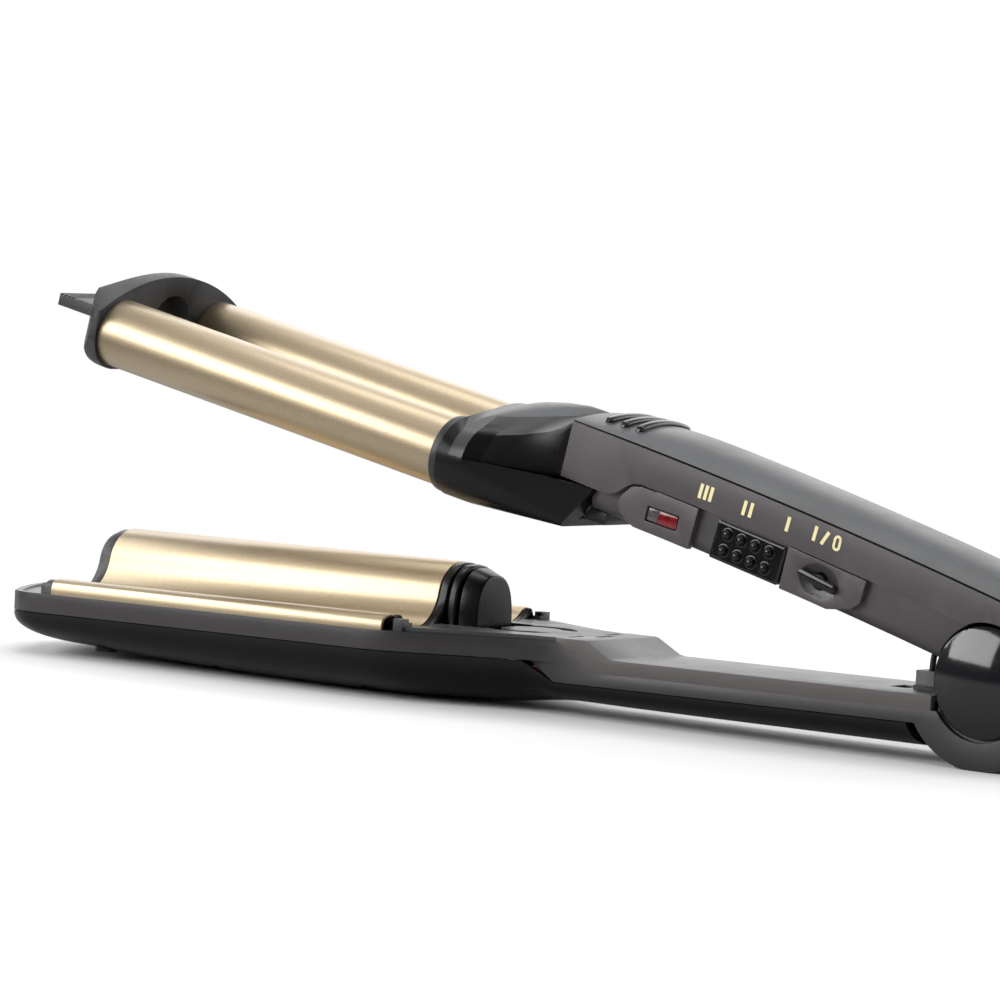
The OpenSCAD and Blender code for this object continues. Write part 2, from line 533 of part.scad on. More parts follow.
module front_cap() color([0.13, 0.13, 0.135]) upp() difference() {
  union() {
    intersection() {
      across(-barrel_front-16, -barrel_front) cap_section();
      translate([-barrel_front, 0, -10]) scale([13.3/33.6, 1, 1]) cylinder(r=33.6, h=50, $fn=180);
    }
    // forward lip for the fingertips
    box(-barrel_front-17.3, -barrel_front, -31.6, 31.6, 14.4, 17.9);
    for (s=[-1, 1]) xcyl(barrel_r-1.1, -barrel_front-2, -barrel_front+7, s*barrel_y, barrel_w, 96);
  }
  // concave face above the lip
  ycyl(14.6, -60, 60, -barrel_front-18.8, 32.5, 128);
  box(-barrel_front-40, -barrel_front-18.8, -60, 60, 17.9, 60);
  // pocket for the end wall of the ridge
  xcyl(8.3, -barrel_front-6.8, -barrel_front+10, 0, 13.9, 64);
  xcyl(12.3, -barrel_front-6.8, -barrel_front+10, 0, crest_z, 96);
  across(-barrel_front-6.8, -barrel_front+10) polygon([[-12.3, crest_z+0.1], [12.3, crest_z+0.1], [14.6, 3.4], [17.4, 0.8], [17.4, -10],
    [-17.4, -10], [-17.4, 0.8], [-14.6, 3.4]]);
  // plug bores
  for (s=[-1, 1]) xcyl(6.6, -barrel_front-6, -barrel_front+8, s*barrel_y, barrel_w, 64);
  // serrations on the lip
  for (i=[0:3]) box(-barrel_front-16.7+i*1.4, -barrel_front-16.1+i*1.4, -32, 32, 17.5, 19);
}

// ---------------------------------------------------------------- controls
module lamp_panel() color([0.30, 0.29, 0.30]) upp() difference() {
  intersection() {
    panel_near(98.2, 125);
    side(-30, 0) polygon([[98.2, 30], [98.2, 0], [112, 6.9], [118.5, 7.6], [123, 9.8], [124.8, 12.5], [124, 15], [121.4, 18.1], [118.4, 18.9], [113, 18.9], [110, 30]]);
  }
  box(-114.9, -104.1, -20, -10, 10.35, 14.65);
}
// the sweep mirrors Y, so near-side slabs are drawn on its positive side
module panel_near(u0, u1) sweep(u0, u1) sq(-21.9, -10.1, shell_y, 17.6);
module knob_panel() color([0.30, 0.29, 0.30]) upp() difference() {
  intersection() {
    panel_near(41, 67.9);
    side(-30, 0) polygon([[67.9, 30], [67.9, 0], [48.7, 5.3], [44.4, 6.6], [41.9, 9.2], [41.1, 13], [41.1, 30]]);
  }
  translate([-56.2, -20, 10.9]) rotate([-90, 0, 0]) cylinder(r=2.3, h=10, $fn=48);
  // dished finger recess round the knob
  translate([-56.2, -17.6-9.2, 10.9]) rotate([0, 3.5, 0]) scale([1.40, 1, 1]) sphere(r=10.3, $fn=96);
}
module lamp_lens_clear() color([0.75, 0.74, 0.74]) upp() box(-114.5, -110.9, -17.3, -12.2, 10.7, 14.3);
module lamp_lens_red() color([0.75, 0.03, 0.03]) upp() box(-110.9, -104.5, -17.3, -12.2, 10.7, 14.3);
module neon_lamp() color([0.95, 0.65, 0.5]) upp() union() {
  xcyl(1.6, -113, -106, -10.4, 12.5, 32);
  for (z=[-0.8, 0.8]) xcyl(0.3, -106.5, -102, -10.4, 12.5+z, 16);
  box(-112, -107, -11.95, -8.8, 9.6, 11);
}
module slider_pad() color([0.02, 0.02, 0.025]) upp() translate([-80.2, 0, 11.75]) rotate([0, 2.9, 0]) union() {
  box(-pad_len/2, pad_len/2, -17.6, -15.9, -pad_h/2, pad_h/2);
  for (i=[0:3]) for (j=[0, 1]) translate([-7.5+i*4.7, -17.6, 2.3-j*4.6]) sphere(r=1.3, $fn=32);
  box(-5, 0, -16, -12.9, -1.1, 1.1);
}
module slide_switch() color([0.10, 0.10, 0.11]) upp() difference() {
  box(-93, -74, -12.8, -6.9, 9.1, 15.6);
  box(-92, -75, -13, -11.4, 10, 13.6);
}
module power_knob() color([0.05, 0.05, 0.055]) upp() translate([-56.2, 0, 10.9]) rotate([0, 7.4, 0]) union() {
  box(-bar_len/2, bar_len/2, -19, -17.7, -1.15, 1.15);
  rotate([0, 0, 0]) ycyl(2, -18, -12.4, 0, 0, 48);
}
module power_switch() color([0.12, 0.12, 0.13]) upp() difference() {
  box(-62, -50, -13.2, -5.4, 8.3, 16.2);
  translate([-56.2, 0, 10.9]) ycyl(2.05, -20, -12.3, 0, 0, 48);
}
module circuit_board() color([0.10, 0.35, 0.18]) upp() union() {
  box(-124, -64, -6.2, -4.6, 10.6, 21.5);
  box(-98, -90, -4.7, 3.5, 12, 20);
  translate([-84, 0, 16]) rotate([90, 0, 0]) cylinder(r=4, h=4.7, $fn=48);
  box(-113, -104, -4.7, -1.2, 11, 15);
}
module stroke(u, w, a=0) translate([-u, -grip_y-0.12, w]) rotate([0, a, 0]) box(-0.52, 0.52, 0, 0.12, -2.05, 2.05);
module setting_marks() color([0.93, 0.90, 0.68]) upp() {
  for (d=[-1.75, 0, 1.75]) stroke(97.3+d, 23.5, 3);
  for (d=[-1.1, 1.1]) stroke(83.1+d, 23.1, 3);
  stroke(69.6, 22.9, 3);
  stroke(60.6, 23.0, 3);
  stroke(57.2, 22.7, 24);
  translate([-53.2, -grip_y-0.12, 22.5]) rotate([-90, 0, 0]) linear_extrude(0.12) difference() {
    union() { sq(-1.25, 1.25, -0.9, 0.9); for (s=[-1, 1]) translate([0, s*0.9]) circle(r=1.25, $fn=32); }
    union() { sq(-0.5, 0.5, -0.9, 0.9); for (s=[-1, 1]) translate([0, s*0.9]) circle(r=0.5, $fn=24); }
  }
}
module barrel_leads() color([0.92, 0.92, 0.90]) upp() for (s=[-1, 1]) union() {
  xcyl(0.9, -179.4, -158, s*(barrel_y-1), 7.6, 24);
}
module wire_sleeve() color([0.08, 0.05, 0.05]) upp() sleeve_torus(0.85, 154, 193);
module shell_screws() color([0.55, 0.55, 0.57]) upp() for (u=scr_u) translate([-u, 0, seam(u)-21.6]) difference() { csk(10); cross_slot(); }

// ---------------------------------------------------------------- cord
module cord_swivel() color([0.07, 0.07, 0.075]) upp() difference() {
  translate([0, 0, 9]) rotate([0, 90, 0]) rotate_extrude($fn=64) polygon(concat(
    [[0, 20.6], [7.4, 20.6], [7.4, 22.85], [5.5, 22.85], [5.5, 27], [7.4, 27], [8, 27.6]],
    [for (a=[0:9:81]) [8*cos(a), 30.5+8*sin(a)*0.85]], [[0, 30.5+6.8]]));
  xcyl(3.1, 19, 50, 0, 9, 48);
}
module strain_relief() color([0.06, 0.06, 0.065]) upp() difference() {
  union() {
    xcyl(3.1, 23, 38, 0, 9, 48);
    translate([37.4, 0, 9]) rotate([0, 90, 0]) cylinder(r1=5.4, r2=4, h=34, $fn=48);
  }
  xcyl(2.6, 20, 80, 0, 9, 48);
  for (i=[0:6]) translate([41+i*4.2, 0, 9]) rotate([0, 90, 0]) difference() { cylinder(r=8, h=1.8, $fn=48); cylinder(r=3.5, h=1.8, $fn=48); }
}
module mains_cord() color([0.03, 0.03, 0.035]) upp() union() {
  xcyl(2.6, 22, 96, 0, 9, 48);
  for (s=[-1, 1]) xcyl(0.9, 95, 101, s*1.15, 9, 24);
}

lower_hull();
lower_frame();
deck_cover();
wave_plate();
crest_spreader();
crest_heater();
plate_carrier();
front_wall();
rear_guard();
lip_clips();
sleeve_post();
plate_leads();
hull_screws();
hinge_pin();
hinge_cap_near();
hinge_cap_far();
torsion_spring();
hinge_washers();
lower_shell();
side_band();
top_cover();
grip_ribs();
neck_upper();
neck_lower();
stop_bumper();
collar_near();
collar_far();
barrel_near();
barrel_far();
spreader_near();
spreader_far();
heater_near();
heater_far();
thermal_fuse();
front_cap();
lamp_panel();
lamp_lens_clear();
lamp_lens_red();
neon_lamp();
knob_panel();
power_switch();
slide_switch();
circuit_board();
setting_marks();
barrel_leads();
wire_sleeve();
shell_screws();
slider_pad();
power_knob();
cord_swivel();
strain_relief();
mains_cord();
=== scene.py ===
import bpy, bmesh, json, math, random
from mathutils import Vector, Matrix


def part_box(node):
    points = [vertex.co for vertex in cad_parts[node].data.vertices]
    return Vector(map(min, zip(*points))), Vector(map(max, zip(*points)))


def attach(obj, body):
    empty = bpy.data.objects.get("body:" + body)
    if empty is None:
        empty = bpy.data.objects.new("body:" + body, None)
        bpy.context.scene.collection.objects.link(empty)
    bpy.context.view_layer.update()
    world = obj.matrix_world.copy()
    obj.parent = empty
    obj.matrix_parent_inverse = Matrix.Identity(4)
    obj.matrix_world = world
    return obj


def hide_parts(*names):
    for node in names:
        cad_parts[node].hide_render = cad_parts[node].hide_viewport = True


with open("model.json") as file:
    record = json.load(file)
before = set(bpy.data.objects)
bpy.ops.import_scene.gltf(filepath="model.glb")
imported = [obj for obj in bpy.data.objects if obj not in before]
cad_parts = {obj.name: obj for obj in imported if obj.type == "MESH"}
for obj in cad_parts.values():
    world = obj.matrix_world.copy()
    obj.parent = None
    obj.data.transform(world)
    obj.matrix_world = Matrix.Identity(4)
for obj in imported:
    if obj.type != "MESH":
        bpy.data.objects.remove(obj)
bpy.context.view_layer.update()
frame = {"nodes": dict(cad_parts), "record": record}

random.seed(7)
MM = 0.001
NODES = frame["nodes"]
LIE = math.asin(2.98 / 225)
LIFT = math.radians(12.34) - LIE
_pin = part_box("hinge_pin")
HZ = (_pin[0].z + _pin[1].z) / 2          # height of the hinge axis
FLOOR_Z = HZ - 0.0234                     # the table top


# ------------------------------------------------------------------ frames of the two arms
def low(x, y, z):
    """A point of the lower arm, in mm, as a point of the row frame in metres."""
    c, s = math.cos(-LIE), math.sin(-LIE)
    return Vector(((x * c + z * s) * MM, y * MM, (-x * s + z * c) * MM + HZ))


def upp(u, y, w):
    """A point of the upper arm: u mm from the hinge, height w."""
    x = -u
    c, s = math.cos(LIFT), math.sin(LIFT)
    return Vector(((x * c + w * s) * MM, y * MM, (-x * s + w * c) * MM + HZ))


# ------------------------------------------------------------------ materials
def nt_new(name):
    m = bpy.data.materials.new(name)
    m.use_nodes = True
    t = m.node_tree
    t.nodes.clear()
    out = t.nodes.new("ShaderNodeOutputMaterial")
    bs = t.nodes.new("ShaderNodeBsdfPrincipled")
    t.links.new(bs.outputs["BSDF"], out.inputs["Surface"])
    return m, t, bs


def math_node(t, op, a, b=None, clamp=False):
    n = t.nodes.new("ShaderNodeMath")
    n.operation = op
    n.use_clamp = clamp
    for i, v in enumerate((a, b)):
        if v is None:
            continue
        if isinstance(v, (int, float)):
            n.inputs[i].default_value = v
        else:
            t.links.new(v, n.inputs[i])
    return n.outputs[0]


def coords(t, stretch=(1, 1, 1), turn=(0, 0, 0)):
    tc = t.nodes.new("ShaderNodeTexCoord")
    mp = t.nodes.new("ShaderNodeMapping")
    mp.inputs["Scale"].default_value = stretch
    mp.inputs["Rotation"].default_value = turn
    t.links.new(tc.outputs["Object"], mp.inputs["Vector"])
    return mp.outputs["Vector"]


def noise(t, vec, scale, detail=2.0, rough=0.5):
    n = t.nodes.new("ShaderNodeTexNoise")
    n.inputs["Scale"].default_value = scale
    n.inputs["Detail"].default_value = detail
    n.inputs["Roughness"].default_value = rough
    t.links.new(vec, n.inputs["Vector"])
    return n.outputs["Fac"]


def ramp(t, fac, lo, hi, a=0.0, b=1.0):
    n = t.nodes.new("ShaderNodeMapRange")
    n.inputs["From Min"].default_value = lo
    n.inputs["From Max"].default_value = hi
    n.inputs["To Min"].default_value = a
    n.inputs["To Max"].default_value = b
    t.links.new(fac, n.inputs["Value"])
    return n.outputs["Result"]


def mix_col(t, fac, c1, c2):
    n = t.nodes.new("ShaderNodeMix")
    n.data_type = "RGBA"
    if isinstance(fac, (int, float)):
        n.inputs["Factor"].default_value = fac
    else:
        t.links.new(fac, n.inputs["Factor"])
    for key, c in (("A", c1), ("B", c2)):
        sock = [s for s in n.inputs if s.name == key and s.type == "RGBA"][0]
        if isinstance(c, (tuple, list)):
            sock.default_value = (c[0], c[1], c[2], 1)
        else:
            t.links.new(c, sock)
    return [s for s in n.outputs if s.type == "RGBA"][0]


def bump(t, height, strength, distance, normal=None):
    n = t.nodes.new("ShaderNodeBump")
    n.inputs["Strength"].default_value = strength
    n.inputs["Distance"].default_value = distance
    t.links.new(height, n.inputs["Height"])
    if normal is not None:
        t.links.new(normal, n.inputs["Normal"])
    return n.outputs["Normal"]


def edge_wear(t, amount):
    """Bright where the surface is sharply convex, for slightly rubbed edges."""
    g = t.nodes.new("ShaderNodeNewGeometry")
    return ramp(t, g.outputs["Pointiness"], 0.52, 0.62, 0.0, amount)


def plastic(name, col, rough, grain=0.0, grain_scale=2600, coat=0.0, spec=0.5, mottle=0.12, wear=0.25, streak=0.0, coat_rough=0.06):
    m, t, bs = nt_new(name)
    v = coords(t)
    big = noise(t, v, 55, 3, 0.6)
    fine = noise(t, v, 900, 2, 0.6)
    dark = tuple(c * (1 - mottle) for c in col)
    light = tuple(min(1, c * (1 + mottle)) for c in col)
    c1 = mix_col(t, ramp(t, big, 0.3, 0.7), dark, light)
    worn = tuple(min(1, c * 1.9 + 0.02) for c in col)
    c2 = mix_col(t, edge_wear(t, wear), c1, worn)
    t.links.new(c2, bs.inputs["Base Color"])
    smudge = noise(t, coords(t, (1, 1, 2.2)), 38, 4, 0.62)
    r = math_node(t, "ADD", ramp(t, smudge, 0.35, 0.75, -0.05, 0.06), ramp(t, fine, 0.3, 0.7, rough - 0.03, rough + 0.03), True)
    t.links.new(r, bs.inputs["Roughness"])
    bs.inputs["Specular IOR Level"].default_value = spec
    bs.inputs["Coat Weight"].default_value = coat
    bs.inputs["Coat Roughness"].default_value = coat_rough
    if grain > 0:
        vor = t.nodes.new("ShaderNodeTexVoronoi")
        vor.inputs["Scale"].default_value = grain_scale
        t.links.new(v, vor.inputs["Vector"])
        h = math_node(t, "ADD", vor.outputs["Distance"], noise(t, v, grain_scale * 0.6, 2))
        nrm = bump(t, h, grain, 0.00008)
    else:
        nrm = bump(t, noise(t, v, 140, 3, 0.55), 0.06, 0.0004)
    t.links.new(nrm, bs.inputs["Normal"])
    return m


def gold(name, col=(0.49, 0.395, 0.262), rough=0.37, arm="upp"):
    """Champagne ceramic-titanium coat: metallic flake under a thin clear coat, drawn along the length."""
    m, t, bs = nt_new(name)
    turn = (0, LIFT, 0) if arm == "upp" else (0, -LIE, 0)
    v = coords(t)
    flake = t.nodes.new("ShaderNodeTexVoronoi")
    flake.inputs["Scale"].default_value = 5200
    t.links.new(v, flake.inputs["Vector"])
    big = noise(t, coords(t, (0.25, 1, 1)), 70, 3, 0.55)
    sep = t.nodes.new("ShaderNodeSeparateColor")
    t.links.new(flake.outputs["Color"], sep.inputs["Color"])
    f = ramp(t, sep.outputs["Red"], 0, 1, 0.0, 1.0)
    c1 = mix_col(t, f, tuple(c * 0.90 for c in col), tuple(min(1, c * 1.10) for c in col))
    c2 = mix_col(t, ramp(t, big, 0.3, 0.7, 0.0, 0.12), c1, tuple(c * 0.93 for c in col))
    t.links.new(c2, bs.inputs["Base Color"])
    bs.inputs["Metallic"].default_value = 0.88
    lines = noise(t, coords(t, (0.03, 1, 1)), 2600, 2, 0.6)
    r = math_node(t, "ADD", ramp(t, lines, 0.3, 0.7, -0.015, 0.015), ramp(t, big, 0.3, 0.7, rough - 0.01, rough + 0.015), True)
    t.links.new(r, bs.inputs["Roughness"])
    bs.inputs["Coat Weight"].default_value = 0.25
    bs.inputs["Coat Roughness"].default_value = 0.16
    t.links.new(bump(t, f, 0.03, 0.00002), bs.inputs["Normal"])
    return m


def metal(name, col, rough, brushed=0.0):
    m, t, bs = nt_new(name)
    v = coords(t)
    n1 = noise(t, v, 300, 3, 0.6)
    c = mix_col(t, ramp(t, n1, 0.3, 0.7), tuple(x * 0.88 for x in col), col)
    t.links.new(c, bs.inputs["Base Color"])
    bs.inputs["Metallic"].default_value = 1.0
    ln = noise(t, coords(t, (0.05, 1, 1)), 2200, 2, 0.5)
    t.links.new(ramp(t, ln, 0.25, 0.75, rough - 0.06, rough + 0.08), bs.inputs["Roughness"])
    bs.inputs["Anisotropic"].default_value = brushed
    t.links.new(bump(t, ln, 0.08, 0.00004), bs.inputs["Normal"])
    return m


def lens(name, col, alpha_mix=0.0):
    m, t, bs = nt_new(name)
    v = coords(t)
    flute = t.nodes.new("ShaderNodeTexWave")
    flute.inputs["Scale"].default_value = 420
    flute.inputs["Distortion"].default_value = 0.4
    t.links.new(v, flute.inputs["Vector"])
    n1 = noise(t, v, 260, 3, 0.6)
    c = mix_col(t, ramp(t, n1, 0.3, 0.7), tuple(x * 0.55 for x in col), col)
    t.links.new(c, bs.inputs["Base Color"])
    t.links.new(ramp(t, n1, 0.3, 0.7, 0.06, 0.16), bs.inputs["Roughness"])
    bs.inputs["Transmission Weight"].default_value = alpha_mix
    bs.inputs["IOR"].default_value = 1.49
    bs.inputs["Coat Weight"].default_value = 0.5
    t.links.new(bump(t, flute.outputs["Fac"], 0.25, 0.0002), bs.inputs["Normal"])
    return m


MAUVE = (0.066, 0.0565, 0.0590)
MAT = {
    "gold": gold("gold_barrel", arm="upp"),
    "gold_low": gold("gold_plate", arm="low"),
    "gloss": plastic("gloss_black", (0.0065, 0.0068, 0.008), 0.13, coat=0.3, mottle=0.1, wear=0.15),
    "mauve": plastic("shell_mauve", MAUVE, 0.40, grain=0.32, grain_scale=3400, mottle=0.06, wear=0.2),
    "mauve_d": plastic("shell_dark", (0.050, 0.0445, 0.0465), 0.40, grain=0.30, grain_scale=3400, mottle=0.08, wear=0.25),
    "cover": plastic("cover_grey", (0.050, 0.053, 0.057), 0.36, grain=0.28, grain_scale=3600, mottle=0.06, wear=0.2),
    "matte": plastic("heatproof_black", (0.018, 0.018, 0.020), 0.42, grain=0.5, grain_scale=2400, mottle=0.15, wear=0.5),
    # rib: the grip ribs' own near-black; on the top cover's cut edge the same finish is painted shade of a groove
    "rib": plastic("rib_black_and_groove_shade", (0.007, 0.007, 0.0082), 0.22, coat=0.2, mottle=0.1, wear=0.2),
    "hull": plastic("hull_black", (0.0042, 0.0043, 0.0050), 0.20, coat=0.0, spec=0.26, mottle=0.1, wear=0.2),
    "neck": plastic("neck_black", (0.0048, 0.0048, 0.0058), 0.30, spec=0.28, mottle=0.1, wear=0.0),
    # facet: the shroud's near facet is dark plastic; this lighter grey is a painted highlight for the light that facet
    # catches
    "facet": plastic("facet_painted_highlight", (0.050, 0.046, 0.047), 0.36, mottle=0.07, wear=0.1),
    "band_d": plastic("band_dark", (0.029, 0.0255, 0.0275), 0.40, grain=0.30, grain_scale=3400, mottle=0.07, wear=0.25),
    # rim: darker mauve of the tray rim band; on the knob panel the same finish is painted shade in the knob's dish
    "rim": plastic("rim_dark_and_dish_shade", (0.031, 0.0275, 0.0290), 0.34, grain=0.22, grain_scale=3200, mottle=0.07, wear=0.3),
    "skirt": plastic("skirt_mauve", (0.080, 0.0705, 0.0685), 0.42, grain=0.30, grain_scale=3400, mottle=0.06, wear=0.25),
    "cap": plastic("cap_charcoal", (0.014, 0.014, 0.0155), 0.46, grain=0.45, grain_scale=2000, mottle=0.18, wear=0.7),
    "carrier": plastic("carrier_black", (0.02, 0.02, 0.021), 0.55, grain=0.4, mottle=0.15),
    "alu": metal("spreader_alu", (0.78, 0.79, 0.80), 0.35, 0.3),
    "steel": metal("steel", (0.62, 0.62, 0.64), 0.28, 0.2),
    "ceramic": plastic("ceramic_white", (0.82, 0.80, 0.75), 0.55, grain=0.5, grain_scale=1800),
    "clear": lens("lamp_clear", (0.13, 0.12, 0.125), 0.25),
    "red": lens("lamp_red", (0.24, 0.007, 0.010), 0.12),
    "board": plastic("board_green", (0.03, 0.16, 0.06), 0.4, grain=0.2),
    "mark": plastic("mark_cream", (0.86, 0.76, 0.42), 0.5, grain=0.3, mottle=0.05, wear=0.0),
    "nylon": plastic("washer_nylon", (0.72, 0.70, 0.62), 0.45, grain=0.2),
    "wire_red": plastic("wire_red", (0.45, 0.02, 0.02), 0.4),
    "wire_white": plastic("wire_white", (0.75, 0.74, 0.70), 0.45),
    "cord": plastic("cord_black", (0.014, 0.014, 0.015), 0.42, grain=0.4, grain_scale=2200),
    "pad": plastic("pad_black", (0.005, 0.005, 0.006), 0.15, coat=0.1, spec=0.4, wear=0.6),
}

SLOT_MAT = {
    "gold_barrel": "gold", "gloss_black": "gloss", "shell_mauve": "mauve", "shell_dark": "mauve_d",
    "cover_grey": "cover", "heatproof_black": "matte", "cap_charcoal": "cap", "carrier_black": "carrier",
    "spreader_alu": "alu", "ceramic_white": "ceramic", "lamp_clear": "clear", "lamp_red": "red",
    "board_green": "board", "mark_cream": "mark", "steel": "steel", "washer_nylon": "nylon",
    "wire_red": "wire_red", "wire_white": "wire_white", "cord_black": "cord",
}
NODE_MAT = {
    "lower_hull": "gloss", "lower_frame": "mauve", "deck_cover": "cover", "wave_plate": "gold_low", "crest_spreader": "alu",
    "crest_heater": "ceramic", "plate_carrier": "carrier", "front_wall": "matte", "rear_guard": "matte", "lip_clips": "matte",
    "sleeve_post": "matte", "plate_leads": "wire_red", "hull_screws": "steel", "hinge_pin": "steel", "hinge_cap_near": "gloss",
    "hinge_cap_far": "gloss", "torsion_spring": "steel", "hinge_washers": "nylon", "lower_shell": "mauve_d", "side_band": "mauve",
    "top_cover": "cover", "grip_ribs": "gloss", "neck_upper": "neck", "neck_lower": "neck", "stop_bumper": "matte",
    "collar_near": "matte", "collar_far": "matte", "barrel_near": "gold", "barrel_far": "gold", "spreader_near": "alu",
    "spreader_far": "alu", "heater_near": "ceramic", "heater_far": "ceramic", "thermal_fuse": "ceramic", "front_cap": "cap",
    "lamp_panel": "mauve", "lamp_lens_clear": "clear", "lamp_lens_red": "red", "neon_lamp": "clear", "knob_panel": "mauve",
    "power_switch": "carrier", "slide_switch": "carrier", "circuit_board": "board", "setting_marks": "mark",
    "barrel_leads": "wire_white", "wire_sleeve": "cord", "shell_screws": "steel", "slider_pad": "pad", "power_knob": "pad",
    "cord_swivel": "matte", "strain_relief": "cord", "mains_cord": "cord",
}
BEVEL = {
    "lower_hull": 0.5, "lower_frame": 0.5, "deck_cover": 0.45, "wave_plate": 0.25, "front_wall": 0.6, "rear_guard": 0.55,
    "lip_clips": 0.3, "sleeve_post": 0.3, "hinge_cap_near": 0.3, "hinge_cap_far": 0.3, "lower_shell": 0.4, "side_band": 0.35,
    "top_cover": 0.3, "grip_ribs": 0.35, "stop_bumper": 0.6, "collar_near": 0.5,
    "collar_far": 0.5, "barrel_near": 0.25, "barrel_far": 0.25, "front_cap": 1.1, "lamp_panel": 0.3, "lamp_lens_clear": 0.2,
    "lamp_lens_red": 0.2, "knob_panel": 0.3, "slider_pad": 0.35, "power_knob": 0.3, "cord_swivel": 0.3, "strain_relief": 0.2,
}


def dress(o, key, bevel=None):
    o.data.materials.clear()
    o.data.materials.append(MAT[key])
    w = o.modifiers.new("weld", "WELD")
    w.merge_threshold = 2e-6
    if bevel:
        b = o.modifiers.new("bevel", "BEVEL")
        b.width = bevel * MM
        b.segments = 3
        b.limit_method = "ANGLE"
        b.angle_limit = math.radians(32)
        b.harden_normals = False
        b.use_clamp_overlap = True
        b.miter_outer = "MITER_ARC"
    for p in o.data.polygons:
        p.use_smooth = True
    smooth_by_angle(o, 30)


def smooth_by_angle(o, deg):
    """Smooth shading that keeps the hard edges hard, as a small node group of our own."""
    g = bpy.data.node_groups.get("smooth_%d" % deg)
    if g is None:
        g = bpy.data.node_groups.new("smooth_%d" % deg, "GeometryNodeTree")
        g.interface.new_socket("Geometry", in_out="INPUT", socket_type="NodeSocketGeometry")
        g.interface.new_socket("Geometry", in_out="OUTPUT", socket_type="NodeSocketGeometry")
        i = g.nodes.new("NodeGroupInput")
        o_ = g.nodes.new("NodeGroupOutput")
        a = g.nodes.new("GeometryNodeInputMeshEdgeAngle")
        c = g.nodes.new("FunctionNodeCompare")
        c.data_type = "FLOAT"
        c.operation = "LESS_EQUAL"
        c.inputs["B"].default_value = math.radians(deg)
        s = g.nodes.new("GeometryNodeSetShadeSmooth")
        s.domain = "EDGE"
        g.links.new(i.outputs[0], s.inputs["Geometry"])
        g.links.new(a.outputs["Unsigned Angle"], c.inputs["A"])
        g.links.new(c.outputs["Result"], s.inputs["Shade Smooth"])
        g.links.new(s.outputs[0], o_.inputs[0])
    md = o.modifiers.new("smooth", "NODES")
    md.node_group = g


for name, o in NODES.items():
    dress(o, NODE_MAT[name], BEVEL.get(name))


def paint(name, keys, rule):
    """Gives some faces of a CAD node another finish; rule(centre, normal) returns 0 or an index into keys."""
    o = NODES[name]
    for k in keys:
        o.data.materials.append(MAT[k])
    for p_ in o.data.polygons:
        p_.material_index = rule(p_.center, p_.normal)


def to_low(v):
    c, s_ = math.cos(LIE), math.sin(LIE)
    x, z = v.x / MM, (v.z - HZ) / MM
    return (x * c + z * s_, v.y / MM, -x * s_ + z * c)


def to_upp(v):
    c, s_ = math.cos(-LIFT), math.sin(-LIFT)
    x, z = v.x / MM, (v.z - HZ) / MM
    return (-(x * c + z * s_), v.y / MM, -x * s_ + z * c)


UPN = Vector((math.sin(LIFT), 0, math.cos(LIFT)))


def frame_rule(c, n):
    x, y, z = to_low(c)
    if x > -137.2 and z < -4.6:
        return 1
    return 2


paint("lower_frame", ["band_d", "rim"], frame_rule)
paint("deck_cover", ["skirt"], lambda c, n: 1 if abs(n.y) > 0.8 and to_low(c)[0] > -138 else 0)
# the knob's recessed dish gets the darker rim finish: painted shade in the recess
paint("knob_panel", ["rim"], lambda c, n: 1 if ((to_upp(c)[0] - 56.2) / 6.6) ** 2 + ((to_upp(c)[2] - 10.9) / 4.75) ** 2 < 1 and -17.57 < to_upp(c)[1] < -15.9 else 0)


# ------------------------------------------------------------------ pieces built here
def new_object(name, verts, faces, key):
    me = bpy.data.meshes.new(name)
    me.from_pydata([tuple(v) for v in verts], [], faces)
    me.validate()
    ob = bpy.data.objects.new(name, me)
    bpy.context.scene.collection.objects.link(ob)
    me.materials.append(MAT[key])
    for p_ in me.polygons:
        p_.use_smooth = True
    return ob


def fix_normals(ob):
    bm = bmesh.new()
    bm.from_mesh(ob.data)
    bmesh.ops.remove_doubles(bm, verts=bm.verts, dist=1e-7)
    bmesh.ops.recalc_face_normals(bm, faces=bm.faces)
    bm.to_mesh(ob.data)
    bm.free()


def bake(ob):
    """Replaces the mesh by the result of the modifiers."""
    dg = bpy.context.evaluated_depsgraph_get()
    me = bpy.data.meshes.new_from_object(ob.evaluated_get(dg))
    old = ob.data
    ob.modifiers.clear()
    ob.data = me
    bpy.data.meshes.remove(old)


def lerp_table(tab, x):
    for (x0, y0), (x1, y1) in zip(tab, tab[1:]):
        if x <= x1:
            f = (x - x0) / (x1 - x0) if x1 > x0 else 0
            return y0 + (y1 - y0) * max(0.0, min(1.0, f))
    return tab[-1][1]


def smooth_table(tab, x):
    """Monotone cubic through the table, so that long outlines have no corners."""
    if x <= tab[0][0]:
        return tab[0][1]
    if x >= tab[-1][0]:
        return tab[-1][1]
    n = len(tab)
    d = [(tab[i + 1][1] - tab[i][1]) / (tab[i + 1][0] - tab[i][0]) for i in range(n - 1)]
    m = [d[0]] + [0 if d[i - 1] * d[i] <= 0 else 2 * d[i - 1] * d[i] / (d[i - 1] + d[i]) for i in range(1, n - 1)] + [d[-1]]
    for i in range(n - 1):
        x0, y0 = tab[i]
        x1, y1 = tab[i + 1]
        if x <= x1:
            h = x1 - x0
            t_ = (x - x0) / h
            return ((1 + 2 * t_) * (1 - t_) ** 2 * y0 + t_ * (1 - t_) ** 2 * h * m[i]
                    + t_ * t_ * (3 - 2 * t_) * y1 + t_ * t_ * (t_ - 1) * h * m[i + 1])
    return tab[-1][1]


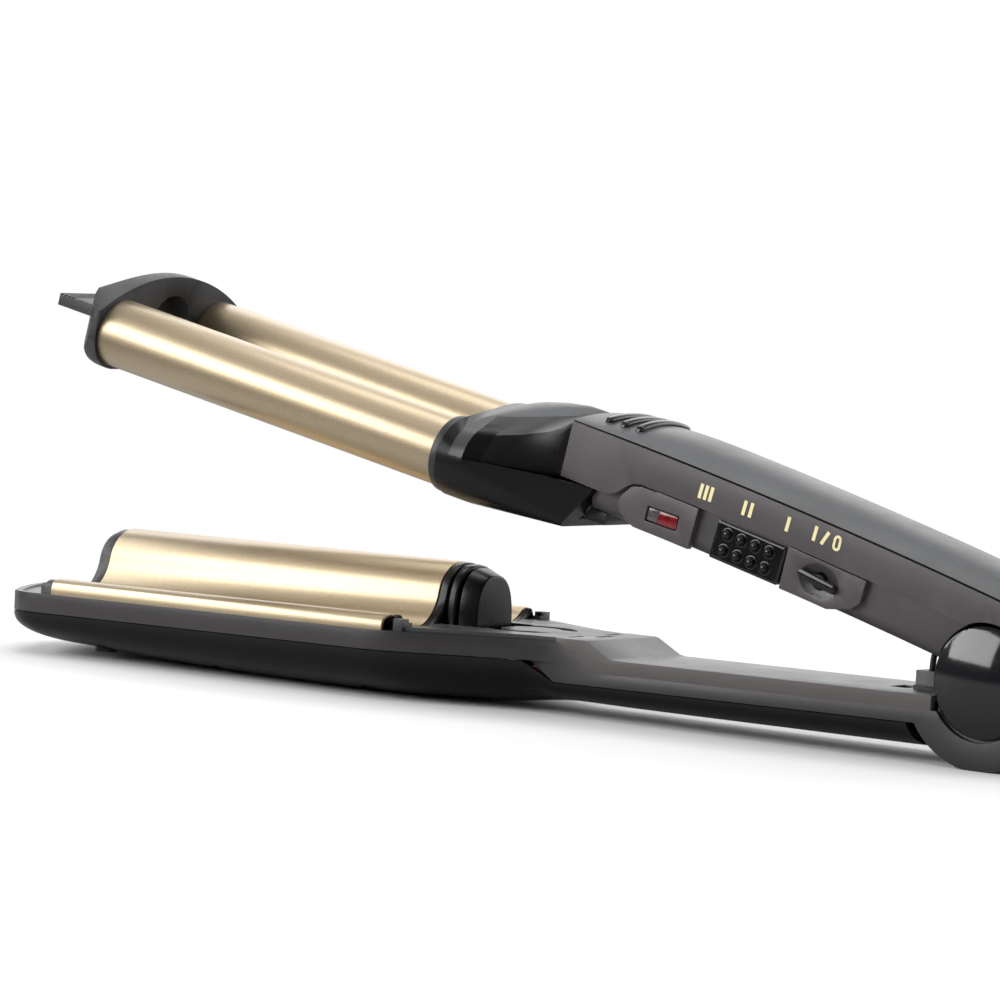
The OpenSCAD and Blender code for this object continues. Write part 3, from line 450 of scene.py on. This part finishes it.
KEEL = [(-334, -9.0), (-328, -12.6), (-318, -15.2), (-300, -17.6), (-275, -19.3), (-250, -20.2), (-226, -20.75), (-203, -20.95),
        (-178, -20.85), (-160, -20.3), (-146, -18.9), (-134, -18.0), (-118, -18.3), (-60, -18.9), (-16, -19.3)]
HALF = [(-309, 39.2), (-190, 39.2), (-183, 38.3), (-177, 36), (-169, 31.6), (-161, 27.3), (-153, 23.4), (-146, 20), (-137, 17.8), (-16, 17.8)]


def hull_top(x):
    if x < -147:
        return -7.15
    if x < -137.4:
        return -7.15 + (x + 147) / 9.6 * -5.5
    return -12.65


def build_hull():
    """Bottom cover of the lower arm: one long lofted shell with a boat-like nose."""
    # plan outline, from the middle of the nose back to the hinge housing
    nose = [(-334.2, 0), (-334.1, 2.5), (-333.6, 5), (-332.3, 9.5), (-330.5, 14), (-328.2, 19.2), (-325, 25), (-321.8, 30.6),
            (-318.2, 35.6), (-316.3, 37.2), (-314, 38.3), (-311.6, 39), (-309, 39.2)]
    xs = [-300 + 8 * i for i in range(14)] + [-190, -186.5, -183, -180, -177, -173, -169, -165, -161, -157, -153, -149.5, -147, -144, -141, -138.5, -137.4,
          -134, -128, -118, -106, -94, -82, -70, -58, -46, -36, -28, -24]
    ring = nose + [(x, smooth_table(HALF, x)) for x in xs]
    na_ = 22
    rows = []
    for (x, y) in ring:
        row = []
        xs_ = max(x, -286)           # spine point that the section bends towards
        for k in range(na_ + 1):
            a = math.pi / 2 * k / na_
            n_ = 2.45 if x < -140 else 2.9
            r_ = math.cos(a) ** (2 / n_) if k < na_ else 0.0
            h_ = math.sin(a) ** (2 / n_)
            px, py = xs_ + (x - xs_) * r_, y * r_
            top = hull_top(px)
            kz = smooth_table(KEEL, max(px, -300) if x < -286 else px)
            row.append((px, py, top - (top - kz) * h_))
        rows.append(row)
    # the rear ends in a slanted edge against the housing
    last = []
    for (px, py, pz) in rows[-1]:
        f = (-12.65 - pz) / 6.5
        last.append((-22.7 + 3.2 * max(0, min(1, f)), py, pz))
    rows.append(last)
    verts, faces = [], []
    nr = len(rows)

    def put(q):
        v = low(*q)
        if v.z < FLOOR_Z + 0.00002:
            v.z = FLOOR_Z + 0.00002
        verts.append(v)
        return len(verts) - 1

    idx = {}
    for i, row in enumerate(rows):
        for k, (x, y, z) in enumerate(row):
            idx[i, k, 1] = put((x, y, z))
            idx[i, k, -1] = idx[i, k, 1] if abs(y) < 1e-6 else put((x, -y, z))
    for i in range(nr - 1):
        for k in range(na_):
            for sgn in (1, -1):
                q = [idx[i, k, sgn], idx[i + 1, k, sgn], idx[i + 1, k + 1, sgn], idx[i, k + 1, sgn]]
                q2 = []
                for v_ in q:
                    if v_ not in q2:
                        q2.append(v_)
                if len(q2) >= 3:
                    faces.append(q2 if sgn == 1 else q2[::-1])
    ob = new_object("hull_skin", verts, faces, "gloss")
    fix_normals(ob)
    sd = ob.modifiers.new("wall", "SOLIDIFY")
    sd.thickness = 0.0020
    sd.offset = -1
    sd.use_even_offset = False
    bake(ob)
    fix_normals(ob)
    # screw bosses inside and counterbores from below
    def tube(name, pts, r0, z0, z1):
        bm = bmesh.new()
        for (x, y) in pts:
            seg = 28
            lo_, hi_ = [], []
            for i in range(seg):
                a = 2 * math.pi * i / seg
                lo_.append(bm.verts.new(low(x + r0 * math.cos(a), y + r0 * math.sin(a), z0)))
                hi_.append(bm.verts.new(low(x + r0 * math.cos(a), y + r0 * math.sin(a), z1)))
            for i in range(seg):
                j = (i + 1) % seg
                bm.faces.new((lo_[i], lo_[j], hi_[j], hi_[i]))
            bm.faces.new(lo_[::-1])
            bm.faces.new(hi_)
        me = bpy.data.meshes.new(name)
        bm.to_mesh(me)
        bm.free()
        o2 = bpy.data.objects.new(name, me)
        bpy.context.scene.collection.objects.link(o2)
        return o2

    pts = [(x, s_ * 24) for x in (-292, -250, -196) for s_ in (-1, 1)]
    pts2 = [(-120, 0), (-50, 0)]
    tools = [(tube("t1", pts, 3.4, -17.4, -7.2), "UNION"), (tube("t2", pts2, 3.2, -17.6, -12.8), "UNION"),
             (tube("t3", pts, 2.45, -26, -15.0), "DIFFERENCE"), (tube("t4", pts2, 2.45, -26, -16.0), "DIFFERENCE"),
             (tube("t5", pts, 1.15, -26, -6), "DIFFERENCE"), (tube("t6", pts2, 1.15, -26, -10), "DIFFERENCE")]
    for o2, op in tools:
        b = ob.modifiers.new("b", "BOOLEAN")
        b.operation = op
        b.solver = "EXACT"
        b.object = o2
    bake(ob)
    for o2, op in tools:
        bpy.data.objects.remove(o2)
    ob.data.materials.clear()
    ob.data.materials.append(MAT["hull"])
    for p_ in ob.data.polygons:
        p_.use_smooth = True
        p_.material_index = 0
    smooth_by_angle(ob, 28)
    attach(ob, BODY["lower_hull"])
    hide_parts("lower_hull")
    return ob


BODY = {n: b for b, ns in frame["record"]["behaviour"]["bodies"].items() for n in ns}
HULL = build_hull()


def stand_for(ob, node, bevel=None, angle=30, seg=3):
    if bevel:
        b = ob.modifiers.new("bevel", "BEVEL")
        b.width = bevel * MM
        b.segments = seg
        b.limit_method = "ANGLE"
        b.angle_limit = math.radians(angle)
        b.use_clamp_overlap = True
    smooth_by_angle(ob, 32)
    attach(ob, BODY[node])
    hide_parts(node)
    return ob


ARC = 1923.0


def seam(u):
    return 30.3 - ARC + math.sqrt(ARC * ARC - (176 - u) ** 2)


CROWN = [(-27, 4.9), (60, 4.9), (100, 4.9), (114, 4.75), (124, 4.2), (134, 3.1), (141, 2.3), (145, 1.9)]


def cover_w(u, y):
    return seam(u) + smooth_table(CROWN, u) * (1 - (abs(y) / 17.8) ** 2.15)


def build_cover():
    """Satin top cover: one crowned sheet, lower at its front end, its edge turned down a little along the band; the
    sheet's cut edge is painted near-black as the shade of a thin groove.
    """
    us = [-26.9, -26.2, -24] + [-20 + 6 * i for i in range(25)] + [128, 131, 134, 137, 140, 142.5, 144, 144.7, 145]
    ny = 28
    verts, faces = [], []
    for i, u in enumerate(us):
        for j in range(ny + 1):
            y = -17.55 + 35.1 * j / ny
            w = cover_w(u, y) - (0.25 if i in (0, len(us) - 1) else 0.0)
            edge = max(0.0, abs(y) - 16.9) / 0.65
            verts.append(upp(u, y, w + 0.42 - 0.12 * edge ** 2))
    for i in range(len(us) - 1):
        for j in range(ny):
            a = i * (ny + 1) + j
            faces.append((a, a + ny + 1, a + ny + 2, a + 1))
    ob = new_object("cover_skin", verts, faces, "cover")
    fix_normals(ob)
    n = ob.data.polygons[len(ob.data.polygons) // 2].normal
    if n.z < 0:
        ob.data.flip_normals()
    # the sheet's cut edge takes the near-black rib finish: painted shade of a groove along the band
    ob.data.materials.append(MAT["rib"])
    sd = ob.modifiers.new("wall", "SOLIDIFY")
    sd.thickness = 0.0009
    sd.offset = -1
    sd.material_offset_rim = 1
    bake(ob)
    for p_ in ob.data.polygons:
        p_.use_smooth = True
    return stand_for(ob, "top_cover")


def build_ribs():
    """Three rounded grip ribs across the front of the cover."""
    verts, faces = [], []
    for u0 in (137.4, 132.2, 127.0):
        nj, nk = 30, 14
        base = len(verts)
        for j in range(nj + 1):
            y = -12.6 + 25.2 * j / nj
            t_ = (abs(y) / 12.6)
            fat = math.sqrt(max(0.0, 1 - max(0.0, (t_ - 0.90) / 0.10) ** 2)) if t_ > 0.90 else 1.0
            fat = max(fat, 0.05)
            for k in range(nk):
                a = 2 * math.pi * k / nk
                du = 1.28 * math.copysign(abs(math.cos(a)) ** 0.75, math.cos(a)) * (0.55 + 0.45 * fat)
                dw = 1.30 * math.copysign(abs(math.sin(a)) ** 0.8, math.sin(a)) * fat
                verts.append(upp(u0 + du, y, cover_w(u0, y) + 0.45 + dw))
        for j in range(nj):
            for k in range(nk):
                k2 = (k + 1) % nk
                faces.append((base + j * nk + k, base + j * nk + k2, base + (j + 1) * nk + k2, base + (j + 1) * nk + k))
        faces.append(tuple(base + k for k in range(nk)))
        faces.append(tuple(base + nj * nk + k for k in range(nk))[::-1])
    ob = new_object("rib_set", verts, faces, "rib")
    fix_normals(ob)
    return stand_for(ob, "grip_ribs")


def build_neck():
    """Upper shroud between the barrels and the handle: round at the barrels, flat facets towards the handle."""
    def circ(y0, r, a0, a1, n):
        return [(y0 + r * math.cos(math.radians(a0 + (a1 - a0) * i / n)), 10.76 + r * math.sin(math.radians(a0 + (a1 - a0) * i / n))) for i in range(n + 1)]

    # half sections (near side) from the seam up to the middle, the same number of points in each
    m1, m2, m3 = 8, 10, 8

    def seg(p0, p1, n, skip=True):
        return [(p0[0] + (p1[0] - p0[0]) * i / n, p0[1] + (p1[1] - p0[1]) * i / n) for i in range(1 if skip else 0, n + 1)]

    front = circ(-22.25, 11.5, 176, 98, m1)
    a_top = front[-1]
    front += seg(a_top, (-10.5, 24.6), m2)
    front += [(-10.5 + 10.5 * i / m3, 24.6 + 1.5 * math.sin(math.pi / 2 * i / m3)) for i in range(1, m3 + 1)]
    def section(seam_p, knee, ridge, mid):
        row = seg(seam_p, knee, m1, False)
        row += seg(knee, ridge, m2)
        row += [(ridge[0] + (mid[0] - ridge[0]) * i / m3, ridge[1] + (mid[1] - ridge[1]) * (1 - (1 - i / m3) ** 1.6)) for i in range(1, m3 + 1)]
        return row

    rows = [(176.35, front)]
    # (u, seam point, knee, ridge point, crown at the middle)
    stations = [(173.2, (-32.9, 11.9), (-28.6, 19.2), (-20.8, 22.9), (0, 26.6)),
                (169.7, (-32.3, 12.2), (-27.6, 19.6), (-18.6, 24.2), (0, 28.2)),
                (166.0, (-28.6, 12.5), (-23.3, 19.9), (-15.4, 25.1), (0, 29.4)),
                (159.0, (-24.6, 13.0), (-19.8, 22.0), (-10.4, 27.2), (0, 31.1)),
                (152.0, (-20.9, 13.4), (-18.3, 24.8), (-5.4, 29.4), (0, 32.2)),
                (147.5, (-18.6, 13.75), (-17.9, 27.3), (-2.2, 31.2), (0, 32.2)),
                (145.05, (-17.75, 13.95), (-17.72, 29.6), (-0.6, 32.1), (0, 32.15))]
    for st in stations:
        rows.append((st[0], section(*st[1:])))
    # the first rows stay clear of the barrel ends; the flank of the scoop starts on a slant
    clear_r = 10.55
    for q in (1, 2):
        u_, row_ = rows[q]
        new = []
        for (y, w) in row_:
            dy, dw = y + 22.25, w - 10.76
            d_ = math.hypot(dy, dw)
            if d_ < clear_r:
                y, w = -22.25 + dy * clear_r / d_, 10.76 + dw * clear_r / d_
            new.append((y, w))
        rows[q] = (u_, new)
    SKEW = {2: 1.2, 3: 0.8, 4: 0.3}
    verts, faces = [], []
    n = m1 + m2 + m3
    idx = {}
    for i, (u, row) in enumerate(rows):
        for j, (y, w) in enumerate(row):
            uj = u - SKEW.get(i, 0) * max(0.0, 1 - j / (m1 + m2))
            verts.append(upp(uj, y, w))
            idx[i, j] = len(verts) - 1
            if j < n:
                verts.append(upp(uj, -y, w))
                idx[i, 2 * n - j] = len(verts) - 1
    tot = 2 * n
    for i in range(len(rows) - 1):
        for j in range(tot):
            faces.append((idx[i, j], idx[i + 1, j], idx[i + 1, j + 1], idx[i, j + 1]))
    ob = new_object("neck_skin", verts, faces, "neck")
    fix_normals(ob)
    if ob.data.polygons[(len(ob.data.polygons)) // 2].normal.z < 0:
        ob.data.flip_normals()
    ob.data.materials.append(MAT["cover"])
    # slot 2, the facet finish, is a painted highlight on the row of faces next to the barrels
    ob.data.materials.append(MAT["facet"])
    k = 0
    for i in range(len(rows) - 1):
        for j in range(tot):
            if m1 + m2 <= j < tot - m1 - m2 or (i == 0 and m1 + 1 <= j < tot - m1 - 1):
                ob.data.polygons[k].material_index = 1
            elif i == 1:
                ob.data.polygons[k].material_index = 2
            k += 1
    sd = ob.modifiers.new("wall", "SOLIDIFY")
    sd.thickness = 0.0016
    sd.offset = -1
    bake(ob)
    for p_ in ob.data.polygons:
        p_.use_smooth = True
    b = ob.modifiers.new("bevel", "BEVEL")
    b.width = 0.0005
    b.segments = 3
    b.limit_method = "ANGLE"
    b.angle_limit = math.radians(24)
    smooth_by_angle(ob, 20)
    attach(ob, BODY["neck_upper"])
    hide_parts("neck_upper")
    return ob


def build_guard():
    """Stepped heat guard behind the plate: a wide thin wall, a rib and a rounded nose."""
    R0, ZC = 10.73, 6.36
    VY, VZ = 22.25, 10.76
    VR = math.sqrt(VY * VY + (VZ - ZC) ** 2) - R0
    TA = math.atan2(VZ - ZC, VY)

    def profile(g, y_end, n=22):
        half = [((R0 - g) * math.cos(math.radians(90) - i * (math.radians(90) - TA) / n),
                 ZC + (R0 - g) * math.sin(math.radians(90) - i * (math.radians(90) - TA) / n)) for i in range(n + 1)]
        half += [(VY + (VR + g) * math.cos(math.pi + TA + i * math.radians(130) / n),
                  VZ + (VR + g) * math.sin(math.pi + TA + i * math.radians(130) / n)) for i in range(1, n + 1)]
        half = [q for q in half if q[0] < y_end]
        out = [(-y_end, -4.5)] + [(-q[0], q[1]) for q in half[::-1]] + half[1:] + [(y_end, -4.5)]
        return out

    def bell(hw, top, base, n=26, pw=2.6):
        out = []
        for i in range(n + 1):
            a = math.pi * i / n
            c, s_ = math.cos(a), math.sin(a)
            out.append((-hw * math.copysign(abs(c) ** (2 / pw), c), base + (top - base) * abs(s_) ** (2 / pw)))
        return [(-hw - 0.2, -1.28)] + out + [(hw + 0.2, -1.28)]

    bm = bmesh.new()

    def slab(x0, x1, pts, pts_end=None):
        p1 = [bm.verts.new(low(x0, y, z)) for y, z in pts]
        p2 = [bm.verts.new(low(x1, y, z)) for y, z in (pts_end or pts)]
        bm.faces.new(p1)
        bm.faces.new(p2[::-1])
        m = len(p1)
        for i in range(m):
            j = (i + 1) % m
            bm.faces.new((p1[i], p2[i], p2[j], p1[j]))

    slab(-183.35, -180.4, profile(0.15, 35.3))
    slab(-180.5, -179.5, bell(10.4, 15.4, 0.2))
    slab(-179.6, -177.2, bell(11.2, 16.7, 0.0), bell(11.0, 16.3, 0.0))
    slab(-177.3, -176.2, bell(9.4, 14.4, 0.2))
    slab(-176.3, -171.0, bell(10.4, 15.9, 0.0), bell(8.6, 13.8, 0.0))
    bmesh.ops.recalc_face_normals(bm, faces=bm.faces)
    me = bpy.data.meshes.new("guard_mesh")
    bm.to_mesh(me)
    bm.free()
    ob = bpy.data.objects.new("guard_steps", me)
    bpy.context.scene.collection.objects.link(ob)
    me.materials.append(MAT["neck"])
    for p_ in me.polygons:
        p_.use_smooth = True
    return stand_for(ob, "rear_guard", 0.7, 40)


def build_pad():
    """Sliding heat pad: chamfered plate with a fine frame and eight round nubs in dimples."""
    t0 = math.radians(2.9)
    C = (80.2, 11.75)
    HL, HH = 11.6, 5.4

    def at(a, b, y):
        """a forwards along the pad towards +x, b upwards."""
        x = a * math.cos(t0) + b * math.sin(t0)
        z = -a * math.sin(t0) + b * math.cos(t0)
        return upp(C[0] - x, y, C[1] + z)

    bm = bmesh.new()

    def loop(hl, hh, y, r=0.5, n=4):
        out = []
        for cx, cz, a0 in ((hl - r, hh - r, 0), (-hl + r, hh - r, 90), (-hl + r, -hh + r, 180), (hl - r, -hh + r, 270)):
            for i in range(n + 1):
                a = math.radians(a0 + 90 * i / n)
                out.append(bm.verts.new(at(cx + r * math.cos(a), cz + r * math.sin(a), y)))
        return out

    rings = [loop(HL - 0.05, HH - 0.05, -15.9), loop(HL - 0.05, HH - 0.05, -17.35), loop(HL - 0.45, HH - 0.45, -17.62), loop(HL - 0.85, HH - 0.85, -17.62),
             loop(HL - 1.0, HH - 1.0, -17.42)]
    bm.faces.new(rings[0])
    for r1, r2 in zip(rings, rings[1:]):
        m = len(r1)
        for i in range(m):
            j = (i + 1) % m
            bm.faces.new((r1[i], r2[i], r2[j], r1[j]))
    bm.faces.new(rings[-1][::-1])
    # stem to the switch
    for (a0, a1, b0, b1, y0, y1) in ((-5, 0, -1.1, 1.1, -16, -12.95),):
        c = [bm.verts.new(at(a, b, y)) for a, b, y in ((a0, b0, y0), (a1, b0, y0), (a1, b1, y0), (a0, b1, y0), (a0, b0, y1), (a1, b0, y1), (a1, b1, y1), (a0, b1, y1))]
        for f in ((0, 1, 2, 3), (7, 6, 5, 4), (0, 4, 5, 1), (1, 5, 6, 2), (2, 6, 7, 3), (3, 7, 4, 0)):
            bm.faces.new([c[k] for k in f])
    for i in range(4):
        for j in range(2):
            ca, cb = -7.5 + i * 4.7, 2.3 - j * 4.6
            seg, prev = 28, None
            prof = [(1.95, -17.38), (1.95, -17.43), (1.75, -17.52), (1.5, -17.50), (1.30, -17.50), (1.22, -17.95), (1.02, -18.38), (0.72, -18.66), (0.36, -18.80)]
            ring0 = None
            for (r_, y_) in prof:
                ring = [bm.verts.new(at(ca + r_ * math.cos(2 * math.pi * k / seg), cb + r_ * math.sin(2 * math.pi * k / seg), y_)) for k in range(seg)]
                if prev:
                    for k in range(seg):
                        k2 = (k + 1) % seg
                        bm.faces.new((prev[k], prev[k2], ring[k2], ring[k]))
                else:
                    ring0 = ring
                prev = ring
            tip = bm.verts.new(at(ca, cb, -18.85))
            for k in range(seg):
                bm.faces.new((prev[k], prev[(k + 1) % seg], tip))
            bm.faces.new(ring0[::-1])
    bmesh.ops.recalc_face_normals(bm, faces=bm.faces)
    me = bpy.data.meshes.new("pad_mesh")
    bm.to_mesh(me)
    bm.free()
    ob = bpy.data.objects.new("pad_plate", me)
    bpy.context.scene.collection.objects.link(ob)
    me.materials.append(MAT["pad"])
    for p_ in me.polygons:
        p_.use_smooth = True
    return stand_for(ob, "slider_pad")


def build_knob():
    """Power knob: a rounded grip bar with a chamfered top on a short stem."""
    t0 = math.radians(7.4)
    C = (56.2, 10.9)

    def at(a, b, y):
        x = a * math.cos(t0) + b * math.sin(t0)
        z = -a * math.sin(t0) + b * math.cos(t0)
        return upp(C[0] - x, y, C[1] + z)

    bm = bmesh.new()
    n = 10

    def loop(hl, hh, y):
        out = []
        for cx, a0 in ((hl - hh, -90), (-hl + hh, 90)):
            for i in range(n + 1):
                a = math.radians(a0 + 180 * i / n)
                out.append(bm.verts.new(at(cx + hh * math.cos(a), hh * math.sin(a), y)))
        return out

    def stack(rings):
        bm.faces.new(rings[0])
        for r1, r2 in zip(rings, rings[1:]):
            m = len(r1)
            for i in range(m):
                j = (i + 1) % m
                bm.faces.new((r1[i], r2[i], r2[j], r1[j]))
        bm.faces.new(rings[-1][::-1])

    stack([loop(6.5, 1.28, -17.72), loop(6.5, 1.28, -18.55), loop(6.35, 1.12, -18.85), loop(6.1, 0.85, -18.98)])
    seg = 36
    rr = []
    for (r_, y_) in ((2.0, -12.4), (2.0, -17.95)):
        rr.append([bm.verts.new(at(r_ * math.cos(2 * math.pi * k / seg), r_ * math.sin(2 * math.pi * k / seg), y_)) for k in range(seg)])
    stack(rr)
    bmesh.ops.recalc_face_normals(bm, faces=bm.faces)
    me = bpy.data.meshes.new("knob_mesh")
    bm.to_mesh(me)
    bm.free()
    ob = bpy.data.objects.new("knob_bar", me)
    bpy.context.scene.collection.objects.link(ob)
    me.materials.append(MAT["pad"])
    for p_ in me.polygons:
        p_.use_smooth = True
    return stand_for(ob, "power_knob")


build_cover()
build_ribs()
build_neck()
build_guard()
build_pad()
build_knob()

def build_cap():
    """Front cap with its underside rounded off like a bowl round the barrel ends."""
    src = NODES["front_cap"]
    me = src.data.copy()
    me.transform(src.matrix_world)
    ob = bpy.data.objects.new("cap_body", me)
    bpy.context.scene.collection.objects.link(ob)
    bm = bmesh.new()
    bm.from_mesh(me)
    bmesh.ops.remove_doubles(bm, verts=bm.verts, dist=1e-6)
    bmesh.ops.recalc_face_normals(bm, faces=bm.faces)
    bm.to_mesh(me)
    bm.free()
    U0, W0 = 303.7, 14.36
    levels = []
    for i in range(25):
        w = -0.25 + (W0 + 0.25) * (1 - (1 - i / 24) ** 1.6)
        f = max(0.012, (1 - ((W0 - w) / (W0 + 0.25)) ** 2.15)) ** (1 / 2.15)
        levels.append((w, 13.55 * f + 0.05, 34.6, 293.0))
    levels.append((W0 + 0.01, 30.0, 60.0, 290.0))
    levels.append((60.0, 30.0, 60.0, 290.0))
    seg = 64
    bm = bmesh.new()
    rings = []
    for (w, a_, b_, back) in levels:
        ring = [bm.verts.new(upp(U0 + a_ * math.cos(t_), b_ * math.sin(t_), w)) for t_ in (math.pi * (k / seg - 0.5) for k in range(seg + 1))]
        ring.append(bm.verts.new(upp(back, b_, w)))
        ring.append(bm.verts.new(upp(back, -b_, w)))
        rings.append(ring)
    for r0, r1 in zip(rings, rings[1:]):
        nn = len(r0)
        for k in range(nn):
            bm.faces.new((r0[k], r0[(k + 1) % nn], r1[(k + 1) % nn], r1[k]))
    bm.faces.new(rings[0][::-1])
    bm.faces.new(rings[-1])
    bmesh.ops.recalc_face_normals(bm, faces=bm.faces)
    tm = bpy.data.meshes.new("cap_tool")
    bm.to_mesh(tm)
    bm.free()
    tool = bpy.data.objects.new("cap_tool", tm)
    bpy.context.scene.collection.objects.link(tool)
    b = ob.modifiers.new("round", "BOOLEAN")
    b.operation = "INTERSECT"
    b.solver = "EXACT"
    b.object = tool
    bake(ob)
    bpy.data.objects.remove(tool)
    ob.data.materials.clear()
    ob.data.materials.append(MAT["cap"])
    for p_ in ob.data.polygons:
        p_.material_index = 0
        p_.use_smooth = True
    return stand_for(ob, "front_cap", 0.7, 34)


CAP = build_cap()


# ------------------------------------------------------------------ stage
def studio():
    w = bpy.data.worlds.new("studio")
    bpy.context.scene.world = w
    w.use_nodes = True
    t = w.node_tree
    t.nodes.clear()
    out = t.nodes.new("ShaderNodeOutputWorld")
    bg_cam = t.nodes.new("ShaderNodeBackground")
    bg_cam.inputs["Color"].default_value = (1, 1, 1, 1)
    bg_cam.inputs["Strength"].default_value = 1.0
    bg = t.nodes.new("ShaderNodeBackground")
    tc = t.nodes.new("ShaderNodeTexCoord")
    sep = t.nodes.new("ShaderNodeSeparateXYZ")
    t.links.new(tc.outputs["Generated"], sep.inputs[0])

    def band(stops):
        cr = t.nodes.new("ShaderNodeValToRGB")
        t.links.new(math_node(t, "ADD", math_node(t, "MULTIPLY", sep.outputs["Z"], 0.5), 0.5), cr.inputs["Fac"])
        e = cr.color_ramp.elements
        e[0].position, e[0].color = stops[0][0], (stops[0][1],) * 3 + (1,)
        e[1].position, e[1].color = stops[-1][0], (stops[-1][1],) * 3 + (1,)
        for pos, v in stops[1:-1]:
            k = e.new(pos)
            k.color = (v, v, v * 1.01, 1)
        return cr.outputs["Color"]

    # in front: a dim room; behind: the white sweep that the glossy tops mirror
    front = band([(0.0, 0.10), (0.46, 0.06), (0.52, 0.09), (0.62, 0.22), (0.78, 0.14), (1.0, 0.10)])
    back = band([(0.0, 0.25), (0.48, 0.60), (0.51, 1.45), (0.66, 1.35), (0.78, 0.55), (1.0, 0.10)])
    side = ramp(t, sep.outputs["Y"], -0.15, 0.45)
    t.links.new(mix_col(t, side, front, back), bg.inputs["Color"])
    bg.inputs["Strength"].default_value = 1.0
    lp = t.nodes.new("ShaderNodeLightPath")
    mx = t.nodes.new("ShaderNodeMixShader")
    t.links.new(lp.outputs["Is Camera Ray"], mx.inputs["Fac"])
    t.links.new(bg.outputs[0], mx.inputs[1])
    t.links.new(bg_cam.outputs[0], mx.inputs[2])
    t.links.new(mx.outputs[0], out.inputs["Surface"])

    def area(name, az, el, dist, sx, sy, power, colour=(1, 1, 1), target=(-0.15, 0, 0.03)):
        """az: degrees from -Y toward -X, el: above the horizon."""
        a, e_ = math.radians(az), math.radians(el)
        d = Vector((-math.sin(a) * math.cos(e_), -math.cos(a) * math.cos(e_), math.sin(e_)))
        L = bpy.data.lights.new(name, "AREA")
        L.shape = "RECTANGLE"
        L.size, L.size_y = sx, sy
        L.energy = power
        L.color = colour
        ob = bpy.data.objects.new(name, L)
        bpy.context.scene.collection.objects.link(ob)
        ob.location = Vector(target) + d * dist
        ob.rotation_mode = "QUATERNION"
        ob.rotation_quaternion = d.to_track_quat("Z", "Y")
        return ob

    area("key_left", 38, 22, 1.6, 1.4, 0.74, 18)
    area("key_side", 84, 26, 1.6, 0.9, 0.7, 6)
    area("top_soft", 160, 74, 1.5, 1.2, 0.6, 5)
    area("back_left", 150, 34, 1.7, 1.6, 0.8, 5)
    area("back_right", 208, 22, 1.7, 1.2, 0.8, 4)
    # lights the table evenly so that it stays white under the tool
    area("table_wash", 0, 88, 2.4, 3.2, 3.2, 26)

    me = bpy.data.meshes.new("floor")
    s = 2.6
    n = 24
    verts = [(s * math.cos(2 * math.pi * i / n), s * math.sin(2 * math.pi * i / n), FLOOR_Z) for i in range(n)]
    me.from_pydata(verts, [], [tuple(range(n))])
    fl = bpy.data.objects.new("floor", me)
    bpy.context.scene.collection.objects.link(fl)
    m, t, bs = nt_new("floor_paper")
    v = coords(t)
    c = mix_col(t, ramp(t, noise(t, v, 6, 3), 0.3, 0.7), (0.93, 0.93, 0.93), (0.95, 0.95, 0.95))
    t.links.new(c, bs.inputs["Base Color"])
    bs.inputs["Roughness"].default_value = 0.9
    bs.inputs["Specular IOR Level"].default_value = 0.0
    # the paper melts into the white sweep away from the tool
    out = [q for q in t.nodes if q.type == "OUTPUT_MATERIAL"][0]
    tr = t.nodes.new("ShaderNodeEmission")
    tr.inputs["Color"].default_value = (1, 1, 1, 1)
    dim = t.nodes.new("ShaderNodeBsdfDiffuse")
    sp = t.nodes.new("ShaderNodeSeparateXYZ")
    t.links.new(v, sp.inputs[0])
    dx = math_node(t, "ADD", sp.outputs["X"], 0.15)
    d2 = math_node(t, "ADD", math_node(t, "MULTIPLY", dx, dx), math_node(t, "MULTIPLY", sp.outputs["Y"], sp.outputs["Y"]))
    far = ramp(t, math_node(t, "SQRT", d2), 0.20, 0.50)
    t.links.new(mix_col(t, ramp(t, math_node(t, "SQRT", d2), 0.22, 0.55), (0.50, 0.50, 0.51), (0.05, 0.05, 0.052)), dim.inputs["Color"])
    lp = t.nodes.new("ShaderNodeLightPath")
    m1 = t.nodes.new("ShaderNodeMixShader")
    t.links.new(math_node(t, "MULTIPLY", far, lp.outputs["Is Camera Ray"]), m1.inputs["Fac"])
    t.links.new(bs.outputs[0], m1.inputs[1])
    t.links.new(tr.outputs[0], m1.inputs[2])
    m2 = t.nodes.new("ShaderNodeMixShader")
    t.links.new(lp.outputs["Is Glossy Ray"], m2.inputs["Fac"])
    t.links.new(m1.outputs[0], m2.inputs[1])
    t.links.new(dim.outputs[0], m2.inputs[2])
    t.links.new(m2.outputs[0], out.inputs["Surface"])
    me.materials.append(m)
    return fl


FLOOR = studio()

cam_data = bpy.data.cameras.new("camera")
cam = bpy.data.objects.new("camera", cam_data)
bpy.context.scene.collection.objects.link(cam)
cam_data.lens = 211.5188
cam_data.sensor_width = 36
cam_data.clip_start, cam_data.clip_end = 0.05, 50
R = Vector((0.8113011, 0.5811986, 0.0632349))
U = Vector((-0.0877964, 0.0141862, 0.9960374))
B = Vector((0.5779985, -0.8136381, 0.0625364))
cam.matrix_world = Matrix(((R.x, U.x, B.x, 0.788248), (R.y, U.y, B.y, -1.351424), (R.z, U.z, B.z, 0.137028 + HZ), (0, 0, 0, 1)))
bpy.context.scene.camera = cam
bpy.context.scene.view_settings.view_transform = "Standard"
